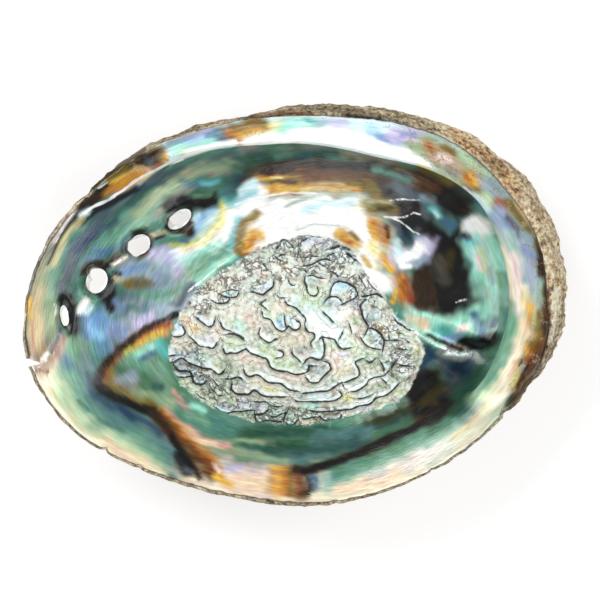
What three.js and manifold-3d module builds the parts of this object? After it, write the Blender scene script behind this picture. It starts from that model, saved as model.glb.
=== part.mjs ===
// Abalone shell lying on its back, hollow side up, in one piece.
// Millimetres. +X points to the coiled end, +Y to the side with the row of holes, +Z up.
// The middle of the outline is over the origin, and the worn spot that it rests on is at Z = 0.

import * as THREE from 'three';
import { mergeVertices } from 'three/addons/utils/BufferGeometryUtils.js';
import Module from 'manifold-3d';

// Outline seen from above: degrees round the middle, and mm out to the widest part
const outline = [
  [0, 75], [15, 74.9], [30, 72], [45, 67], [60, 61.2], [75, 57], [90, 55], [105, 54.4], [120, 56.6],
  [135, 60.7], [150, 64.9], [165, 70.6], [178, 74.2], [188, 75.7], [197, 74.6], [210, 70.4], [225, 63.3],
  [240, 58.2], [255, 55.8], [270, 55.7], [285, 56.5], [300, 57.9], [315, 60.8], [330, 64.9], [345, 70.4],
];

// Height of the rim over the table: it is lowest along both long sides
const rimHeight = [
  [0, 34], [45, 33.4], [100, 32.2], [150, 32.6], [188, 33.6], [225, 31.6], [275, 30.2], [325, 32],
];

// Band of rough outer crust that shows outside the rim, where the side bulges past it
const crustWidth = [
  [0, 6.2], [15, 6.3], [30, 7.1], [42, 6], [60, 4.4], [75, 3.9], [90, 3.1], [105, 1.6], [120, 1.4],
  [140, 0.8], [180, 0.6], [220, 0.6], [270, 0.6], [320, 0.7], [335, 1.5], [346, 3.6],
];
const crustDepth = 9;

// Pearly shelf inside the rim, from its outer edge to its rounded inner edge
const shelfWidth = [
  [0, 10], [15, 10], [30, 7.3], [45, 8.9], [60, 10], [75, 8.4], [90, 7.4], [105, 7.3], [120, 6],
  [135, 4.8], [150, 3], [170, 2.4], [200, 3], [230, 6], [270, 8], [305, 12], [325, 12], [345, 10.5],
];
const shelfDip = 1.6;
const shelfEdge = 2.2;

// How far the hollow reaches out under the shelf
const undercut = [
  [0, 9], [30, 9], [60, 6.5], [90, 5], [120, 2.5], [150, 0.5], [200, 0], [270, 0], [320, 1], [340, 6],
];

// 1 where the edge is a shelf over a bulging side, 0 where it is a thin flaring lip
const shelfShare = [
  [0, 1], [45, 1], [100, 1], [125, 0.8], [150, 0.25], [175, 0], [240, 0], [300, 0], [325, 0.15], [345, 0.9],
];

// Wall of the shell, thick on the floor of the hollow and thin at the flaring lip
const lipThickness = 1.7;
const wallThickness = 3.6;
const floorThickness = 4.2;

// Sections of the back: a lip flares out at the end of its slope, a bulging side turns straight up
const lipSection = { steep: 2.4, flare: 2.35 };
const bulgeSection = { flat: 1.9, round: 1.7 };

// Flat worn spot under the centre of mass
const wornSpot = { x: 8.5, y: 3, halfLength: 9.5, halfWidth: 7.5 };

// Coil: middle of the spire, and growth of the radius for each radian of turn
const coil = { x: 40.5, y: -18, growth: 0.6 };

// Spire: a low cone, and the seam between its turns, which starts where the lip ends
const spire = { height: 6, radius: 25, growth: 0.32, fullSize: 9 };
const seam = { turn: -29.6, away: 21.3, depth: 1.6, width: 2.2, ledge: 0.9, ledgeAway: 3.4, ledgeWidth: 2.4 };

// Row of breathing holes on a low keel: how far round the coil each lies, and its two widths
const holes = [
  { turn: 171.4, along: 4.8, across: 1.8 },
  { turn: 165.6, along: 5.2, across: 6.4 },
  { turn: 157.6, along: 5, across: 5.2 },
  { turn: 150.2, along: 4.4, across: 6 },
];
const closedHoles = { first: 143.4, step: 7, count: 30 };
const rowPhase = -4.764;
const keel = { height: 1.3, width: 5, fullSize: 60 };
const furrow = { depth: 0.9, away: 9, width: 4.5 };
const collar = { height: 0.9, radius: 4.6, fullSize: 90 };
const funnel = { depth: 0.7, width: 1.1 };

// Swellings left by each season of growth, and crusted lumps
const season = { turn: 0.16, height: 0.75, fullSize: 70 };
const lump = { height: 0.45, lengthX: 4.1, lengthY: 3.7, bendX: 5.9, bendY: 6.3 };

// Raised scar of the muscle on the floor, in rows of scalloped pads
const scar = { x: 1, y: -8.5, rise: 1.1, edge: 3, padDepth: 0.42, calm: 16 };
const padRow = { step: 5.6, scallops: 11, scallopDepth: 0.9, innerLimit: 9, outerLimit: 15 };
const padHeap = { size: 7.5, height: 1.3, bend: 1.3, bendLength: 4.5 };
const scarOutline = [
  [0, 36], [25, 35.5], [50, 34], [75, 30.5], [90, 29.5], [115, 30], [140, 32], [165, 35], [185, 37],
  [205, 36.5], [225, 32], [245, 28], [270, 26.5], [295, 28], [320, 33], [340, 37],
];

// Notch in the lip by the newest hole, and the groove that runs to it
const notch = { x: -74.2, y: -16, along: 5, across: 2.4, turn: -12 };
const groove = { from: [-71, -17.5], to: [-63.5, -5.5], depth: 0.7, width: 2 };

// Fold that runs into the coil on the floor
const fold = { from: [29, -3.5], to: [51, -13.4], height: 1.5, width: 2.4 };

// Rings of points over the skin; the rim's rings reach in to this share of the way to the edge
const sections = 74;
const outsideRings = 22;
const shoulderRings = 4;
const rimRings = 14;
const insideRings = 23;
const rimReach = 0.72;
const endTightening = 4;
const cutterHeight = 80;
const cutterSides = 14;

const degrees = Math.PI / 180;
const mix = (a, b, share) => a + (b - a) * share;
const clamp = value => Math.min(1, Math.max(0, value));
const hill = (away, width) => Math.exp(-((away / width) ** 2));

function ease(low, high, value) {
  const share = clamp((value - low) / (high - low));
  return share * share * (3 - 2 * share);
}

// A smooth closed line through [degrees, value] pairs, read at any angle
function around(knots) {
  const count = knots.length;
  const knot = i => {
    const lap = Math.floor(i / count);
    const [angle, value] = knots[i - lap * count];
    return { angle: angle + 360 * lap, value };
  };
  const slope = i => (knot(i + 1).value - knot(i - 1).value) / (knot(i + 1).angle - knot(i - 1).angle);
  return angle => {
    const start = knots[0][0];
    const read = start + (((angle - start) % 360) + 360) % 360;
    let i = count - 1;
    while (knots[i][0] > read) i--;
    const step = knot(i + 1).angle - knot(i).angle;
    const t = (read - knot(i).angle) / step;
    const rise = knot(i + 1).value - knot(i).value;
    const a = slope(i) * step - rise;
    const b = rise - slope(i + 1) * step;
    return knot(i).value + rise * t + t * (1 - t) * (a * (1 - t) + b * t);
  };
}

const outlineAt = around(outline);
const rimHeightAt = around(rimHeight);
const crustWidthAt = around(crustWidth);
const shelfWidthAt = around(shelfWidth);
const undercutAt = around(undercut);
const shelfShareAt = around(shelfShare);
const scarOutlineAt = around(scarOutline);

// Where a point lies in the coil: its distance, its turn, and which spiral it is on
function coilPlace(x, y) {
  const away = Math.max(Math.hypot(x - coil.x, y - coil.y), 0.01);
  const turn = Math.atan2(y - coil.y, x - coil.x);
  return { away, turn, phase: turn - Math.log(away) / coil.growth };
}

// A phase difference brought to between -PI and PI
function wrap(phase) {
  return phase - 2 * Math.PI * Math.round(phase / (2 * Math.PI));
}

// Signed distance from a spiral line of the coil, less than zero towards the outside
function fromSpiral(x, y, phase) {
  const place = coilPlace(x, y);
  return wrap(place.phase - phase) * place.away * coil.growth / Math.hypot(1, coil.growth);
}

// Point of the row of holes at a turn round the coil
function rowPoint(turn) {
  const away = Math.exp(coil.growth * (turn * degrees - rowPhase));
  return { x: coil.x + away * Math.cos(turn * degrees), y: coil.y + away * Math.sin(turn * degrees), away };
}

// How long ago the lip was at a point, as a turn of the coil back from now
function growthAt(x, y) {
  const outside = back => {
    const size = Math.exp(coil.growth * back);
    const cos = Math.cos(back);
    const sin = Math.sin(back);
    const grownX = coil.x + size * (cos * (x - coil.x) - sin * (y - coil.y));
    const grownY = coil.y + size * (sin * (x - coil.x) + cos * (y - coil.y));
    return Math.hypot(grownX, grownY) - outlineAt(Math.atan2(grownY, grownX) / degrees);
  };
  const step = 0.1;
  let high = 0;
  while (outside(high) < 0 && high < 12) high += step;
  let low = high - step;
  for (let i = 0; i < 12; i++) {
    const middle = (low + high) / 2;
    if (outside(middle) < 0) low = middle;
    else high = middle;
  }
  return high;
}

// Height of the smooth outside, as a share of the height of its widest part
function lipProfile(share) {
  return share ** lipSection.steep * (lipSection.flare - (lipSection.flare - 1) * share);
}

function bulgeProfile(share) {
  return 1 - (1 - Math.min(share, 1) ** bulgeSection.flat) ** (1 / bulgeSection.round);
}

// Smooth outside: share 0 at the worn spot, 1 at the widest part
function outsidePoint(angle, share) {
  const cos = Math.cos(angle * degrees);
  const sin = Math.sin(angle * degrees);
  const near = 1 / Math.hypot(cos / wornSpot.halfLength, sin / wornSpot.halfWidth);
  const wide = outlineAt(angle);
  const shelf = shelfShareAt(angle);
  const top = rimHeightAt(angle) - crustDepth * shelf;
  const height = top * mix(lipProfile(share), bulgeProfile(share), shelf);
  return new THREE.Vector3(
    (1 - share) * (wornSpot.x + near * cos) + share * wide * cos,
    (1 - share) * (wornSpot.y + near * sin) + share * wide * sin,
    height,
  );
}

// Direction out of the shell's back; near the edge it stays as it is a little further in
function outsideNormal(angle, share) {
  const step = 0.01;
  const outer = clamp(Math.min(share + step, 1 - step));
  const inner = Math.max(outer - 2 * step, 0);
  const out = outsidePoint(angle, outer).sub(outsidePoint(angle, inner));
  const round = outsidePoint(angle + 1, share).sub(outsidePoint(angle - 1, share));
  return round.cross(out).normalize();
}

// Inner face of the wall behind a point of the smooth outside
function insidePoint(angle, share) {
  const wall = mix(floorThickness, wallThickness, ease(0.3, 0.6, share));
  const lip = mix(lipThickness, wallThickness, shelfShareAt(angle));
  const thickness = mix(wall, lip, ease(0.75, 1, share));
  return outsidePoint(angle, share).addScaledVector(outsideNormal(angle, share), -thickness);
}

// Point of the rim section at a distance out from the middle and a height
function rimPoint(angle, away, height) {
  return new THREE.Vector3(away * Math.cos(angle * degrees), away * Math.sin(angle * degrees), height);
}

// Rounded shoulder from the widest part up to the rim's outer edge
function shoulderPoint(angle, share) {
  const shelf = shelfShareAt(angle);
  const wide = outlineAt(angle);
  const top = rimHeightAt(angle);
  const quarter = share * Math.PI / 2;
  const bulge = rimPoint(
    angle,
    wide - crustWidthAt(angle) * (1 - Math.cos(quarter)),
    top - crustDepth * (1 - Math.sin(quarter)),
  );
  const edge = outsidePoint(angle, 1);
  const lip = edge.lerp(insidePoint(angle, 1), 0.4 * share);
  lip.z += 0.5 * lipThickness * Math.sin(quarter);
  return lip.lerp(bulge, shelf);
}

// Shelf section from the rim's outer edge, over the inner edge and under it to the wall
function shelfCurve(angle) {
  const top = rimHeightAt(angle);
  const outer = outlineAt(angle) - crustWidthAt(angle);
  const inner = outer - shelfWidthAt(angle);
  const wall = insidePoint(angle, rimReach);
  const low = top - shelfDip;
  const points = [
    rimPoint(angle, outer, top),
    rimPoint(angle, mix(outer, inner, 0.3), top - 0.9 * shelfDip),
    rimPoint(angle, mix(outer, inner, 0.7), low),
    rimPoint(angle, inner + 0.35 * shelfEdge, low - 0.1 * shelfEdge),
    rimPoint(angle, inner, low - shelfEdge),
    rimPoint(angle, inner + undercutAt(angle) / 2, low - 2 * shelfEdge),
    rimPoint(angle, inner + undercutAt(angle), (low + wall.z) / 2),
    wall,
  ];
  return new THREE.CatmullRomCurve3(points, false, 'centripetal');
}

// Ring of the rim between its outer edge, share 0, and the wall of the hollow, share 1
function rimRing(share) {
  return angle => {
    const lip = insidePoint(angle, mix(1, rimReach, share));
    return lip.lerp(shelfCurve(angle).getPoint(share), shelfShareAt(angle));
  };
}

// Distance out from the nearest turn of the seam, and how far out that turn is
function seamPlace(place) {
  const lap = 2 * Math.PI * spire.growth;
  const back = (((seam.turn * degrees - place.turn) / (2 * Math.PI)) % 1 + 1) % 1;
  const outerTurn = seam.away * Math.exp(-lap * back);
  const laps = Math.min(0, Math.round(Math.log(place.away / outerTurn) / lap));
  const nearest = outerTurn * Math.exp(lap * laps);
  return { nearest, out: place.away - nearest };
}

function spireRelief(x, y) {
  const place = coilPlace(x, y);
  const { nearest, out } = seamPlace(place);
  const size = Math.min(1, nearest / spire.fullSize);
  const cone = spire.height * (1 - ease(0, spire.radius, place.away));
  const sunk = seam.depth * size * hill(out, seam.width * size + 0.3);
  const ledge = seam.ledge * size * hill(out + seam.ledgeAway * size, seam.ledgeWidth * size + 0.3);
  return cone - sunk + ledge;
}

const closedNumbers = [...Array(closedHoles.count).keys()];
const closedTurns = closedNumbers.map(i => closedHoles.first - closedHoles.step * i);
const collarTurns = [...holes.map(hole => hole.turn), ...closedTurns];

// Raised collar round each hole, open or closed, smaller towards the coil
function collarRelief(x, y) {
  let relief = 0;
  for (const turn of collarTurns) {
    const centre = rowPoint(turn);
    const size = clamp(centre.away / collar.fullSize);
    const away = Math.hypot(x - centre.x, y - centre.y);
    relief = Math.max(relief, collar.height * size * hill(away, collar.radius * size + 0.6));
  }
  return relief;
}

// Keel along the row of holes, and the furrow outside it
function rowRelief(x, y) {
  const size = clamp(coilPlace(x, y).away / keel.fullSize);
  const away = fromSpiral(x, y, rowPhase);
  const ridge = keel.height * hill(away, keel.width * size + 1);
  const trough = furrow.depth * hill(away + furrow.away * size, furrow.width * size + 1);
  return (ridge - trough) * size + collarRelief(x, y);
}

// Seasonal swellings, parallel to the lip, and crusted lumps
function crustRelief(x, y) {
  const size = clamp(coilPlace(x, y).away / season.fullSize);
  const swelling = season.height * size * Math.cos(growthAt(x, y) / season.turn * 2 * Math.PI);
  const lumpX = Math.sin(x / lump.lengthX + 1.7 * Math.sin(y / lump.bendY));
  const lumpY = Math.sin(y / lump.lengthY + 1.3 * Math.sin(x / lump.bendX));
  return swelling + lump.height * lumpX * lumpY;
}

// Distance inside the edge of the muscle scar, in mm
function insideScar(x, y) {
  const dx = x - scar.x;
  const dy = y - scar.y;
  return scarOutlineAt(Math.atan2(dy, dx) / degrees) - Math.hypot(dx, dy);
}

// Scalloped pads: in rows along the scar's edge, in rounded heaps towards its middle
function scarRelief(x, y) {
  const depth = insideScar(x, y);
  if (depth < -scar.edge) return 0;
  const turn = Math.atan2(y - scar.y, x - scar.x);
  const scallop = padRow.scallopDepth * Math.sin(turn * padRow.scallops);
  const rows = Math.sin(2 * Math.PI * depth / padRow.step + scallop);
  const wave = 2 * Math.PI / padHeap.size;
  const heapX = Math.sin(wave * x + padHeap.bend * Math.sin(y / padHeap.bendLength));
  const heapY = Math.sin(wave * y + padHeap.bend * Math.sin(x / padHeap.bendLength));
  const inRows = ease(padRow.outerLimit, padRow.innerLimit, depth) * ease(6, -2, y - scar.y);
  const pads = mix(padHeap.height * heapX * heapY, rows, inRows);
  const calm = ease(0, scar.calm, Math.hypot(x - wornSpot.x, y - wornSpot.y));
  return ease(-scar.edge, 1, depth) * (scar.rise + scar.padDepth * pads * calm);
}

// Shallow funnel into each open hole from the hollow
function funnelRelief(x, y) {
  let relief = 0;
  for (const hole of holes) {
    const centre = rowPoint(hole.turn);
    const away = Math.hypot(x - centre.x, y - centre.y);
    relief = Math.min(relief, -funnel.depth * hill(away, funnel.width * hole.along));
  }
  return relief;
}

// Distance from a straight stretch between two points, and how far along it
function fromStretch(x, y, from, to) {
  const lengthX = to[0] - from[0];
  const lengthY = to[1] - from[1];
  const along = ((x - from[0]) * lengthX + (y - from[1]) * lengthY) / (lengthX ** 2 + lengthY ** 2);
  const kept = clamp(along);
  return { away: Math.hypot(x - from[0] - kept * lengthX, y - from[1] - kept * lengthY), along };
}

function foldRelief(x, y) {
  const place = fromStretch(x, y, fold.from, fold.to);
  return fold.height * ease(-0.3, 0.6, place.along) * hill(place.away, fold.width);
}

function grooveRelief(x, y) {
  return -groove.depth * hill(fromStretch(x, y, groove.from, groove.to).away, groove.width);
}

// Smooth rings from the worn spot over the rim to the floor of the hollow
function allRings() {
  const rings = [];
  for (let i = 0; i < outsideRings; i++) {
    const share = (i / outsideRings) ** 0.85;
    rings.push(angle => outsidePoint(angle, share));
  }
  for (let i = 0; i < shoulderRings; i++) rings.push(angle => shoulderPoint(angle, i / shoulderRings));
  for (let i = 0; i < rimRings; i++) rings.push(rimRing(i / rimRings));
  for (let i = 0; i < insideRings; i++) {
    const share = rimReach * (1 - i / insideRings);
    rings.push(angle => insidePoint(angle, share));
  }
  return rings;
}

// Outline angles, closer together at the narrow ends
function sectionAngle(i) {
  const even = 360 * i / sections;
  return even - endTightening * Math.sin(2 * even * degrees);
}

// Relief of the back, fading out at the worn spot and at a thin lip
function outsideRelief(ring, angle, x, y) {
  const lipStart = outsideRings - 3;
  const lipFade = 1 - 0.8 * ease(lipStart, outsideRings, ring) * (1 - shelfShareAt(angle));
  const rimFade = 1 - ease(outsideRings, outsideRings + shoulderRings, ring);
  const relief = spireRelief(x, y) + rowRelief(x, y) + crustRelief(x, y);
  return relief * ease(0, 3, ring) * lipFade * rimFade;
}

function insideRelief(x, y) {
  return scarRelief(x, y) + foldRelief(x, y) + grooveRelief(x, y) + funnelRelief(x, y);
}

// Moves the points of the back and of the hollow along their normals
function addRelief(grid) {
  const insideStart = outsideRings + shoulderRings + rimRings - 4;
  return grid.map((ring, i) => ring.map((point, j) => {
    const before = (grid[i - 1] ?? grid[i])[j];
    const after = (grid[i + 1] ?? grid[i])[j];
    const left = ring[(j + sections - 1) % sections];
    const right = ring[(j + 1) % sections];
    const normal = after.clone().sub(before).cross(right.clone().sub(left)).normalize().negate();
    const onBack = i < outsideRings + shoulderRings;
    let relief = 0;
    if (onBack) relief = outsideRelief(i, sectionAngle(j), point.x, point.y);
    else if (i >= insideStart) relief = insideRelief(point.x, point.y);
    const raised = point.clone().addScaledVector(normal, relief);
    if (onBack) raised.z = Math.max(raised.z, 0);
    return raised;
  }));
}

// Closed skin over all rings, with a point in the middle of the back and of the floor
function skin() {
  const rings = allRings();
  const smooth = rings.map(ring => Array.from({ length: sections }, (_, j) => ring(sectionAngle(j))));
  const poles = {
    bottom: new THREE.Vector3(wornSpot.x, wornSpot.y, 0),
    top: new THREE.Vector3(wornSpot.x, wornSpot.y, floorThickness + scar.rise),
  };
  const grid = addRelief(smooth);
  const points = [poles.bottom, ...grid.flat(), poles.top];
  const last = points.length - 1;
  const at = (i, j) => 1 + i * sections + (j % sections);
  const faces = [];
  for (let j = 0; j < sections; j++) {
    faces.push(0, at(0, j + 1), at(0, j));
    faces.push(last, at(rings.length - 1, j), at(rings.length - 1, j + 1));
    for (let i = 0; i < rings.length - 1; i++) {
      faces.push(at(i, j), at(i, j + 1), at(i + 1, j + 1));
      faces.push(at(i, j), at(i + 1, j + 1), at(i + 1, j));
    }
  }
  const geometry = new THREE.BufferGeometry();
  geometry.setAttribute('position', new THREE.Float32BufferAttribute(points.flatMap(p => p.toArray()), 3));
  geometry.setIndex(faces);
  return geometry;
}

// Upright oval post that cuts through the wall
function ovalCutter({ x, y, along, across, turn }) {
  const geometry = new THREE.CylinderGeometry(0.5, 0.5, cutterHeight, cutterSides);
  geometry.rotateX(Math.PI / 2);
  geometry.scale(along, across, 1);
  geometry.rotateZ(turn * degrees);
  geometry.translate(x, y, 0);
  return geometry;
}

// Cutter for a hole, set along the row
function holeCutter(hole) {
  const rowSlant = Math.atan(coil.growth) / degrees;
  return ovalCutter({ ...hole, ...rowPoint(hole.turn), turn: hole.turn + 90 - rowSlant });
}

const wasm = await Module();
wasm.setup();

function toSolid(geometry) {
  const bare = geometry.clone();
  bare.deleteAttribute('normal');
  bare.deleteAttribute('uv');
  const merged = mergeVertices(bare, 1e-4);
  return new wasm.Manifold(new wasm.Mesh({
    numProp: 3,
    vertProperties: new Float32Array(merged.attributes.position.array),
    triVerts: new Uint32Array(merged.index.array),
  }));
}

function toGeometry(solid) {
  const mesh = solid.getMesh();
  const geometry = new THREE.BufferGeometry();
  geometry.setAttribute('position', new THREE.Float32BufferAttribute(mesh.vertProperties, 3));
  geometry.setIndex(Array.from(mesh.triVerts));
  return geometry;
}

function shell() {
  let solid = toSolid(skin());
  for (const hole of holes) solid = solid.subtract(toSolid(holeCutter(hole)));
  solid = solid.subtract(toSolid(ovalCutter(notch)));
  const pearl = new THREE.MeshStandardMaterial({ color: 0x9fb5a6, roughness: 0.25, metalness: 0.1 });
  const mesh = new THREE.Mesh(toGeometry(solid), pearl);
  mesh.name = 'shell';
  return mesh;
}

const abalone = new THREE.Group();
abalone.add(shell());

export default abalone;
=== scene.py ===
import bpy
import numpy as np
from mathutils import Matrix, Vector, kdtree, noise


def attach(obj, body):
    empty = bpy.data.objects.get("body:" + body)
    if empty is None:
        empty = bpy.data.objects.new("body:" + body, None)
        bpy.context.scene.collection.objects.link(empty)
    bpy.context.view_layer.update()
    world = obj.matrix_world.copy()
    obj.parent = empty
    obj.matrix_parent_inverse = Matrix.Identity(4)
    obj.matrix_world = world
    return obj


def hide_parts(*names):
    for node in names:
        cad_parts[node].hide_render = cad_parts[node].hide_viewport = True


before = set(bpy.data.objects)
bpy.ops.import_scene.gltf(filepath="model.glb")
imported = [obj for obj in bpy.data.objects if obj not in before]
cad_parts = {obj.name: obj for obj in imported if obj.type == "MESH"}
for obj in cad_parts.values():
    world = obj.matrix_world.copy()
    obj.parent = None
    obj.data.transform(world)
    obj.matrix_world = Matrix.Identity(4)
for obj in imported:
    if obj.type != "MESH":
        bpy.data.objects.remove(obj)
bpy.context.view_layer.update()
mm = 0.001


def ease(low, high, value):
    share = np.clip((value - low) / (high - low), 0, 1)
    return share * share * (3 - 2 * share)


def mix(a, b, share):
    return a + (b - a) * share


def hill(away, width):
    return np.exp(-((away / width) ** 2))


# a smooth closed line through [degrees, value] pairs, read at any angle
def around(knots):
    count = len(knots)
    turns = [pair[0] for pair in knots]
    angles = np.array([turn + lap for lap in (-360, 0, 360) for turn in turns], float)
    levels = np.array([pair[1] for pair in knots] * 3, float)
    slopes = np.zeros(3 * count)
    slopes[1:-1] = (levels[2:] - levels[:-2]) / (angles[2:] - angles[:-2])

    def read(angle):
        at = (np.asarray(angle, float) - turns[0]) % 360 + turns[0]
        i = np.searchsorted(angles, at, side="right") - 1
        span = angles[i + 1] - angles[i]
        t = (at - angles[i]) / span
        rise = levels[i + 1] - levels[i]
        a = slopes[i] * span - rise
        b = rise - slopes[i + 1] * span
        return levels[i] + rise * t + t * (1 - t) * (a * (1 - t) + b * t)
    return read


# smooth random values about 0, in patches as wide as size (mm); each seed gives others
def cloud(points, size, octaves, seed=0):
    fading, finer = 1.0, 2.0
    places = ((np.asarray(points, float) + seed) / size).tolist()
    return np.array([noise.fractal(place, fading, finer, octaves) for place in places])


# rows of a table: words and numbers first, then places in mm; a row goes on where the next one is indented
def readRows(table):
    rows = []
    for line in table.strip().replace("\n  ", " ").splitlines():
        if not line.startswith("#"):
            words = line.split()
            facts = [word if word.isalpha() else float(word) for word in words if "," not in word]
            places = [tuple(float(part) for part in word.split(",")) for word in words if "," in word]
            rows.append(facts + [places])
    return rows


# the smooth form of the shell in mm, the same values as the CAD solid;
# a pair in a list is degrees round the middle, and a length
shellForm = {
    "outline": [
        [0, 75], [15, 74.9], [30, 72], [45, 67], [60, 61.2], [75, 57], [90, 55], [105, 54.4],
        [120, 56.6], [135, 60.7], [150, 64.9], [165, 70.6], [178, 74.2], [188, 75.7], [197, 74.6],
        [210, 70.4], [225, 63.3], [240, 58.2], [255, 55.8], [270, 55.7], [285, 56.5], [300, 57.9],
        [315, 60.8], [330, 64.9], [345, 70.4],
    ],
    "rimHeight": [
        [0, 34], [45, 33.4], [100, 32.2], [150, 32.6], [188, 33.6], [225, 31.6], [275, 30.2], [325, 32],
    ],
    "crustWidth": [
        [0, 6.2], [15, 6.3], [30, 7.1], [42, 6], [60, 4.4], [75, 3.9], [90, 3.1], [105, 1.6],
        [120, 1.4], [140, 0.8], [180, 0.6], [220, 0.6], [270, 0.6], [320, 0.7], [335, 1.5], [346, 3.6],
    ],
    "shelfWidth": [
        [0, 10], [15, 10], [30, 7.3], [45, 8.9], [60, 10], [75, 8.4], [90, 7.4], [105, 7.3], [120, 6],
        [135, 4.8], [150, 3], [170, 2.4], [200, 3], [230, 6], [270, 8], [305, 12], [325, 12],
        [345, 10.5],
    ],
    "undercut": [
        [0, 9], [30, 9], [60, 6.5], [90, 5], [120, 2.5], [150, 0.5], [200, 0], [270, 0], [320, 1],
        [340, 6],
    ],
    "shelfShare": [
        [0, 1], [45, 1], [100, 1], [125, 0.8], [150, 0.25], [175, 0], [240, 0], [300, 0],
        [325, 0.15], [345, 0.9],
    ],
    "crustDepth": 9, "shelfDip": 1.6, "shelfEdge": 2.2,
    "lipThickness": 1.7, "wallThickness": 3.6, "floorThickness": 4.2,
    "lipSteep": 2.4, "lipFlare": 2.35, "bulgeFlat": 1.9, "bulgeRound": 1.7,
    "rimReach": 0.72, "endTightening": 4,
    "floorEnds": (0.3, 0.6),
    "lipStarts": (0.75, 1),
    "lipRound": (0.4, 0.5),
    "shelfCurve": {"first": 0.3, "firstDip": 0.9, "second": 0.7, "turnsIn": 0.35, "turnsDown": 0.1},
}
wornSpot = {"x": 8.5, "y": 3, "halfLength": 9.5, "halfWidth": 7.5}
coil = {"x": 40.5, "y": -18, "growth": 0.6, "least": 0.01}

outlineAt = around(shellForm["outline"])
rimHeightAt = around(shellForm["rimHeight"])
crustWidthAt = around(shellForm["crustWidth"])
shelfWidthAt = around(shellForm["shelfWidth"])
undercutAt = around(shellForm["undercut"])
rawShelfShareAt = around(shellForm["shelfShare"])


def shelfShareAt(angle):
    return np.clip(rawShelfShareAt(angle), 0, 1)


def unit(vectors):
    tiny = 1e-9
    return vectors / np.maximum(np.linalg.norm(vectors, axis=-1, keepdims=True), tiny)


def polar(angle, away, height):
    turn = np.radians(angle)
    return np.stack([away * np.cos(turn), away * np.sin(turn), height + 0 * turn], -1)


# smooth back: share 0 at the worn spot, 1 at the widest part
def outsidePoint(angle, share):
    cos, sin = np.cos(np.radians(angle)), np.sin(np.radians(angle))
    near = 1 / np.hypot(cos / wornSpot["halfLength"], sin / wornSpot["halfWidth"])
    wide = outlineAt(angle)
    shelf = shelfShareAt(angle)
    top = rimHeightAt(angle) - shellForm["crustDepth"] * shelf
    flare = shellForm["lipFlare"]
    lip = share ** shellForm["lipSteep"] * (flare - (flare - 1) * share)
    flat = 1 - min(share, 1) ** shellForm["bulgeFlat"]
    bulge = 1 - flat ** (1 / shellForm["bulgeRound"])
    across = (1 - share) * (wornSpot["x"] + near * cos) + share * wide * cos
    along = (1 - share) * (wornSpot["y"] + near * sin) + share * wide * sin
    return np.stack([across, along, top * mix(lip, bulge, shelf)], -1)


def outsideNormal(angle, share):
    nudge = 0.01
    outer = np.clip(share + nudge, 0, 1 - nudge)
    out = outsidePoint(angle, outer) - outsidePoint(angle, max(outer - 2 * nudge, 0))
    sideways = outsidePoint(angle + 1, share) - outsidePoint(angle - 1, share)
    return unit(np.cross(sideways, out))


def insidePoint(angle, share):
    wall = mix(shellForm["floorThickness"], shellForm["wallThickness"], ease(*shellForm["floorEnds"], share))
    lip = mix(shellForm["lipThickness"], shellForm["wallThickness"], shelfShareAt(angle))
    thickness = mix(wall, lip, ease(*shellForm["lipStarts"], share))
    return outsidePoint(angle, share) - outsideNormal(angle, share) * thickness[:, None]


# the edge: a rounded lip, or a band of crust that turns over to the shelf
def shoulderPoint(angle, share):
    quarter = share * np.pi / 2
    bulge = polar(
        angle,
        outlineAt(angle) - crustWidthAt(angle) * (1 - np.cos(quarter)),
        rimHeightAt(angle) - shellForm["crustDepth"] * (1 - np.sin(quarter)),
    )
    towardsInside, raised = shellForm["lipRound"]
    lip = mix(outsidePoint(angle, 1), insidePoint(angle, 1), towardsInside * share)
    lip[:, 2] += raised * shellForm["lipThickness"] * np.sin(quarter)
    return mix(lip, bulge, shelfShareAt(angle)[:, None])


# section of the pearly shelf: over its inner edge and under it to the wall of the hollow
def shelfSection(angle):
    top = rimHeightAt(angle)
    outer = outlineAt(angle) - crustWidthAt(angle)
    inner = outer - shelfWidthAt(angle)
    under = undercutAt(angle)
    low = top - shellForm["shelfDip"]
    edge = shellForm["shelfEdge"]
    wall = insidePoint(angle, shellForm["rimReach"])
    curve = shellForm["shelfCurve"]
    return np.array([
        polar(angle, outer, top),
        polar(angle, mix(outer, inner, curve["first"]), top - curve["firstDip"] * shellForm["shelfDip"]),
        polar(angle, mix(outer, inner, curve["second"]), low),
        polar(angle, inner + curve["turnsIn"] * edge, low - curve["turnsDown"] * edge),
        polar(angle, inner, low - edge),
        polar(angle, inner + under / 2, low - 2 * edge),
        polar(angle, inner + under, (low + wall[:, 2]) / 2),
        wall,
    ])


# point at a share of the way along a smooth line through the points of a section
def alongSection(points, share):
    padded = np.concatenate([2 * points[:1] - points[1:2], points, 2 * points[-1:] - points[-2:-1]])
    run = share * (len(points) - 1)
    i = min(int(run), len(points) - 2)
    t = run - i
    p0, p1, p2, p3 = padded[i:i + 4]
    gaps = [np.linalg.norm(b - a, axis=-1, keepdims=True) ** 0.5 for a, b in ((p0, p1), (p1, p2), (p2, p3))]
    tiny = 1e-4
    middle = np.maximum(gaps[1], tiny)
    before, after = [np.where(gap < tiny, middle, gap) for gap in (gaps[0], gaps[2])]
    leave = ((p1 - p0) / before - (p2 - p0) / (before + middle) + (p2 - p1) / middle) * middle
    arrive = ((p2 - p1) / middle - (p3 - p1) / (middle + after) + (p3 - p2) / after) * middle
    curve = (2 * p1 - 2 * p2 + leave + arrive) * t ** 3
    return p1 + leave * t + (3 * p2 - 3 * p1 - 2 * leave - arrive) * t ** 2 + curve


# rings of vertices over the skin, from the worn spot over the rim to the floor of the hollow
skin = {"segments": 410, "worn": 6, "outside": 64, "shoulder": 12, "rim": 42, "inside": 97, "floor": 17}
skinParts = ["worn", "outside", "shoulder", "rim", "inside", "floor"]
crowding = 0.85  # draws the outside's rings towards the edge


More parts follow.
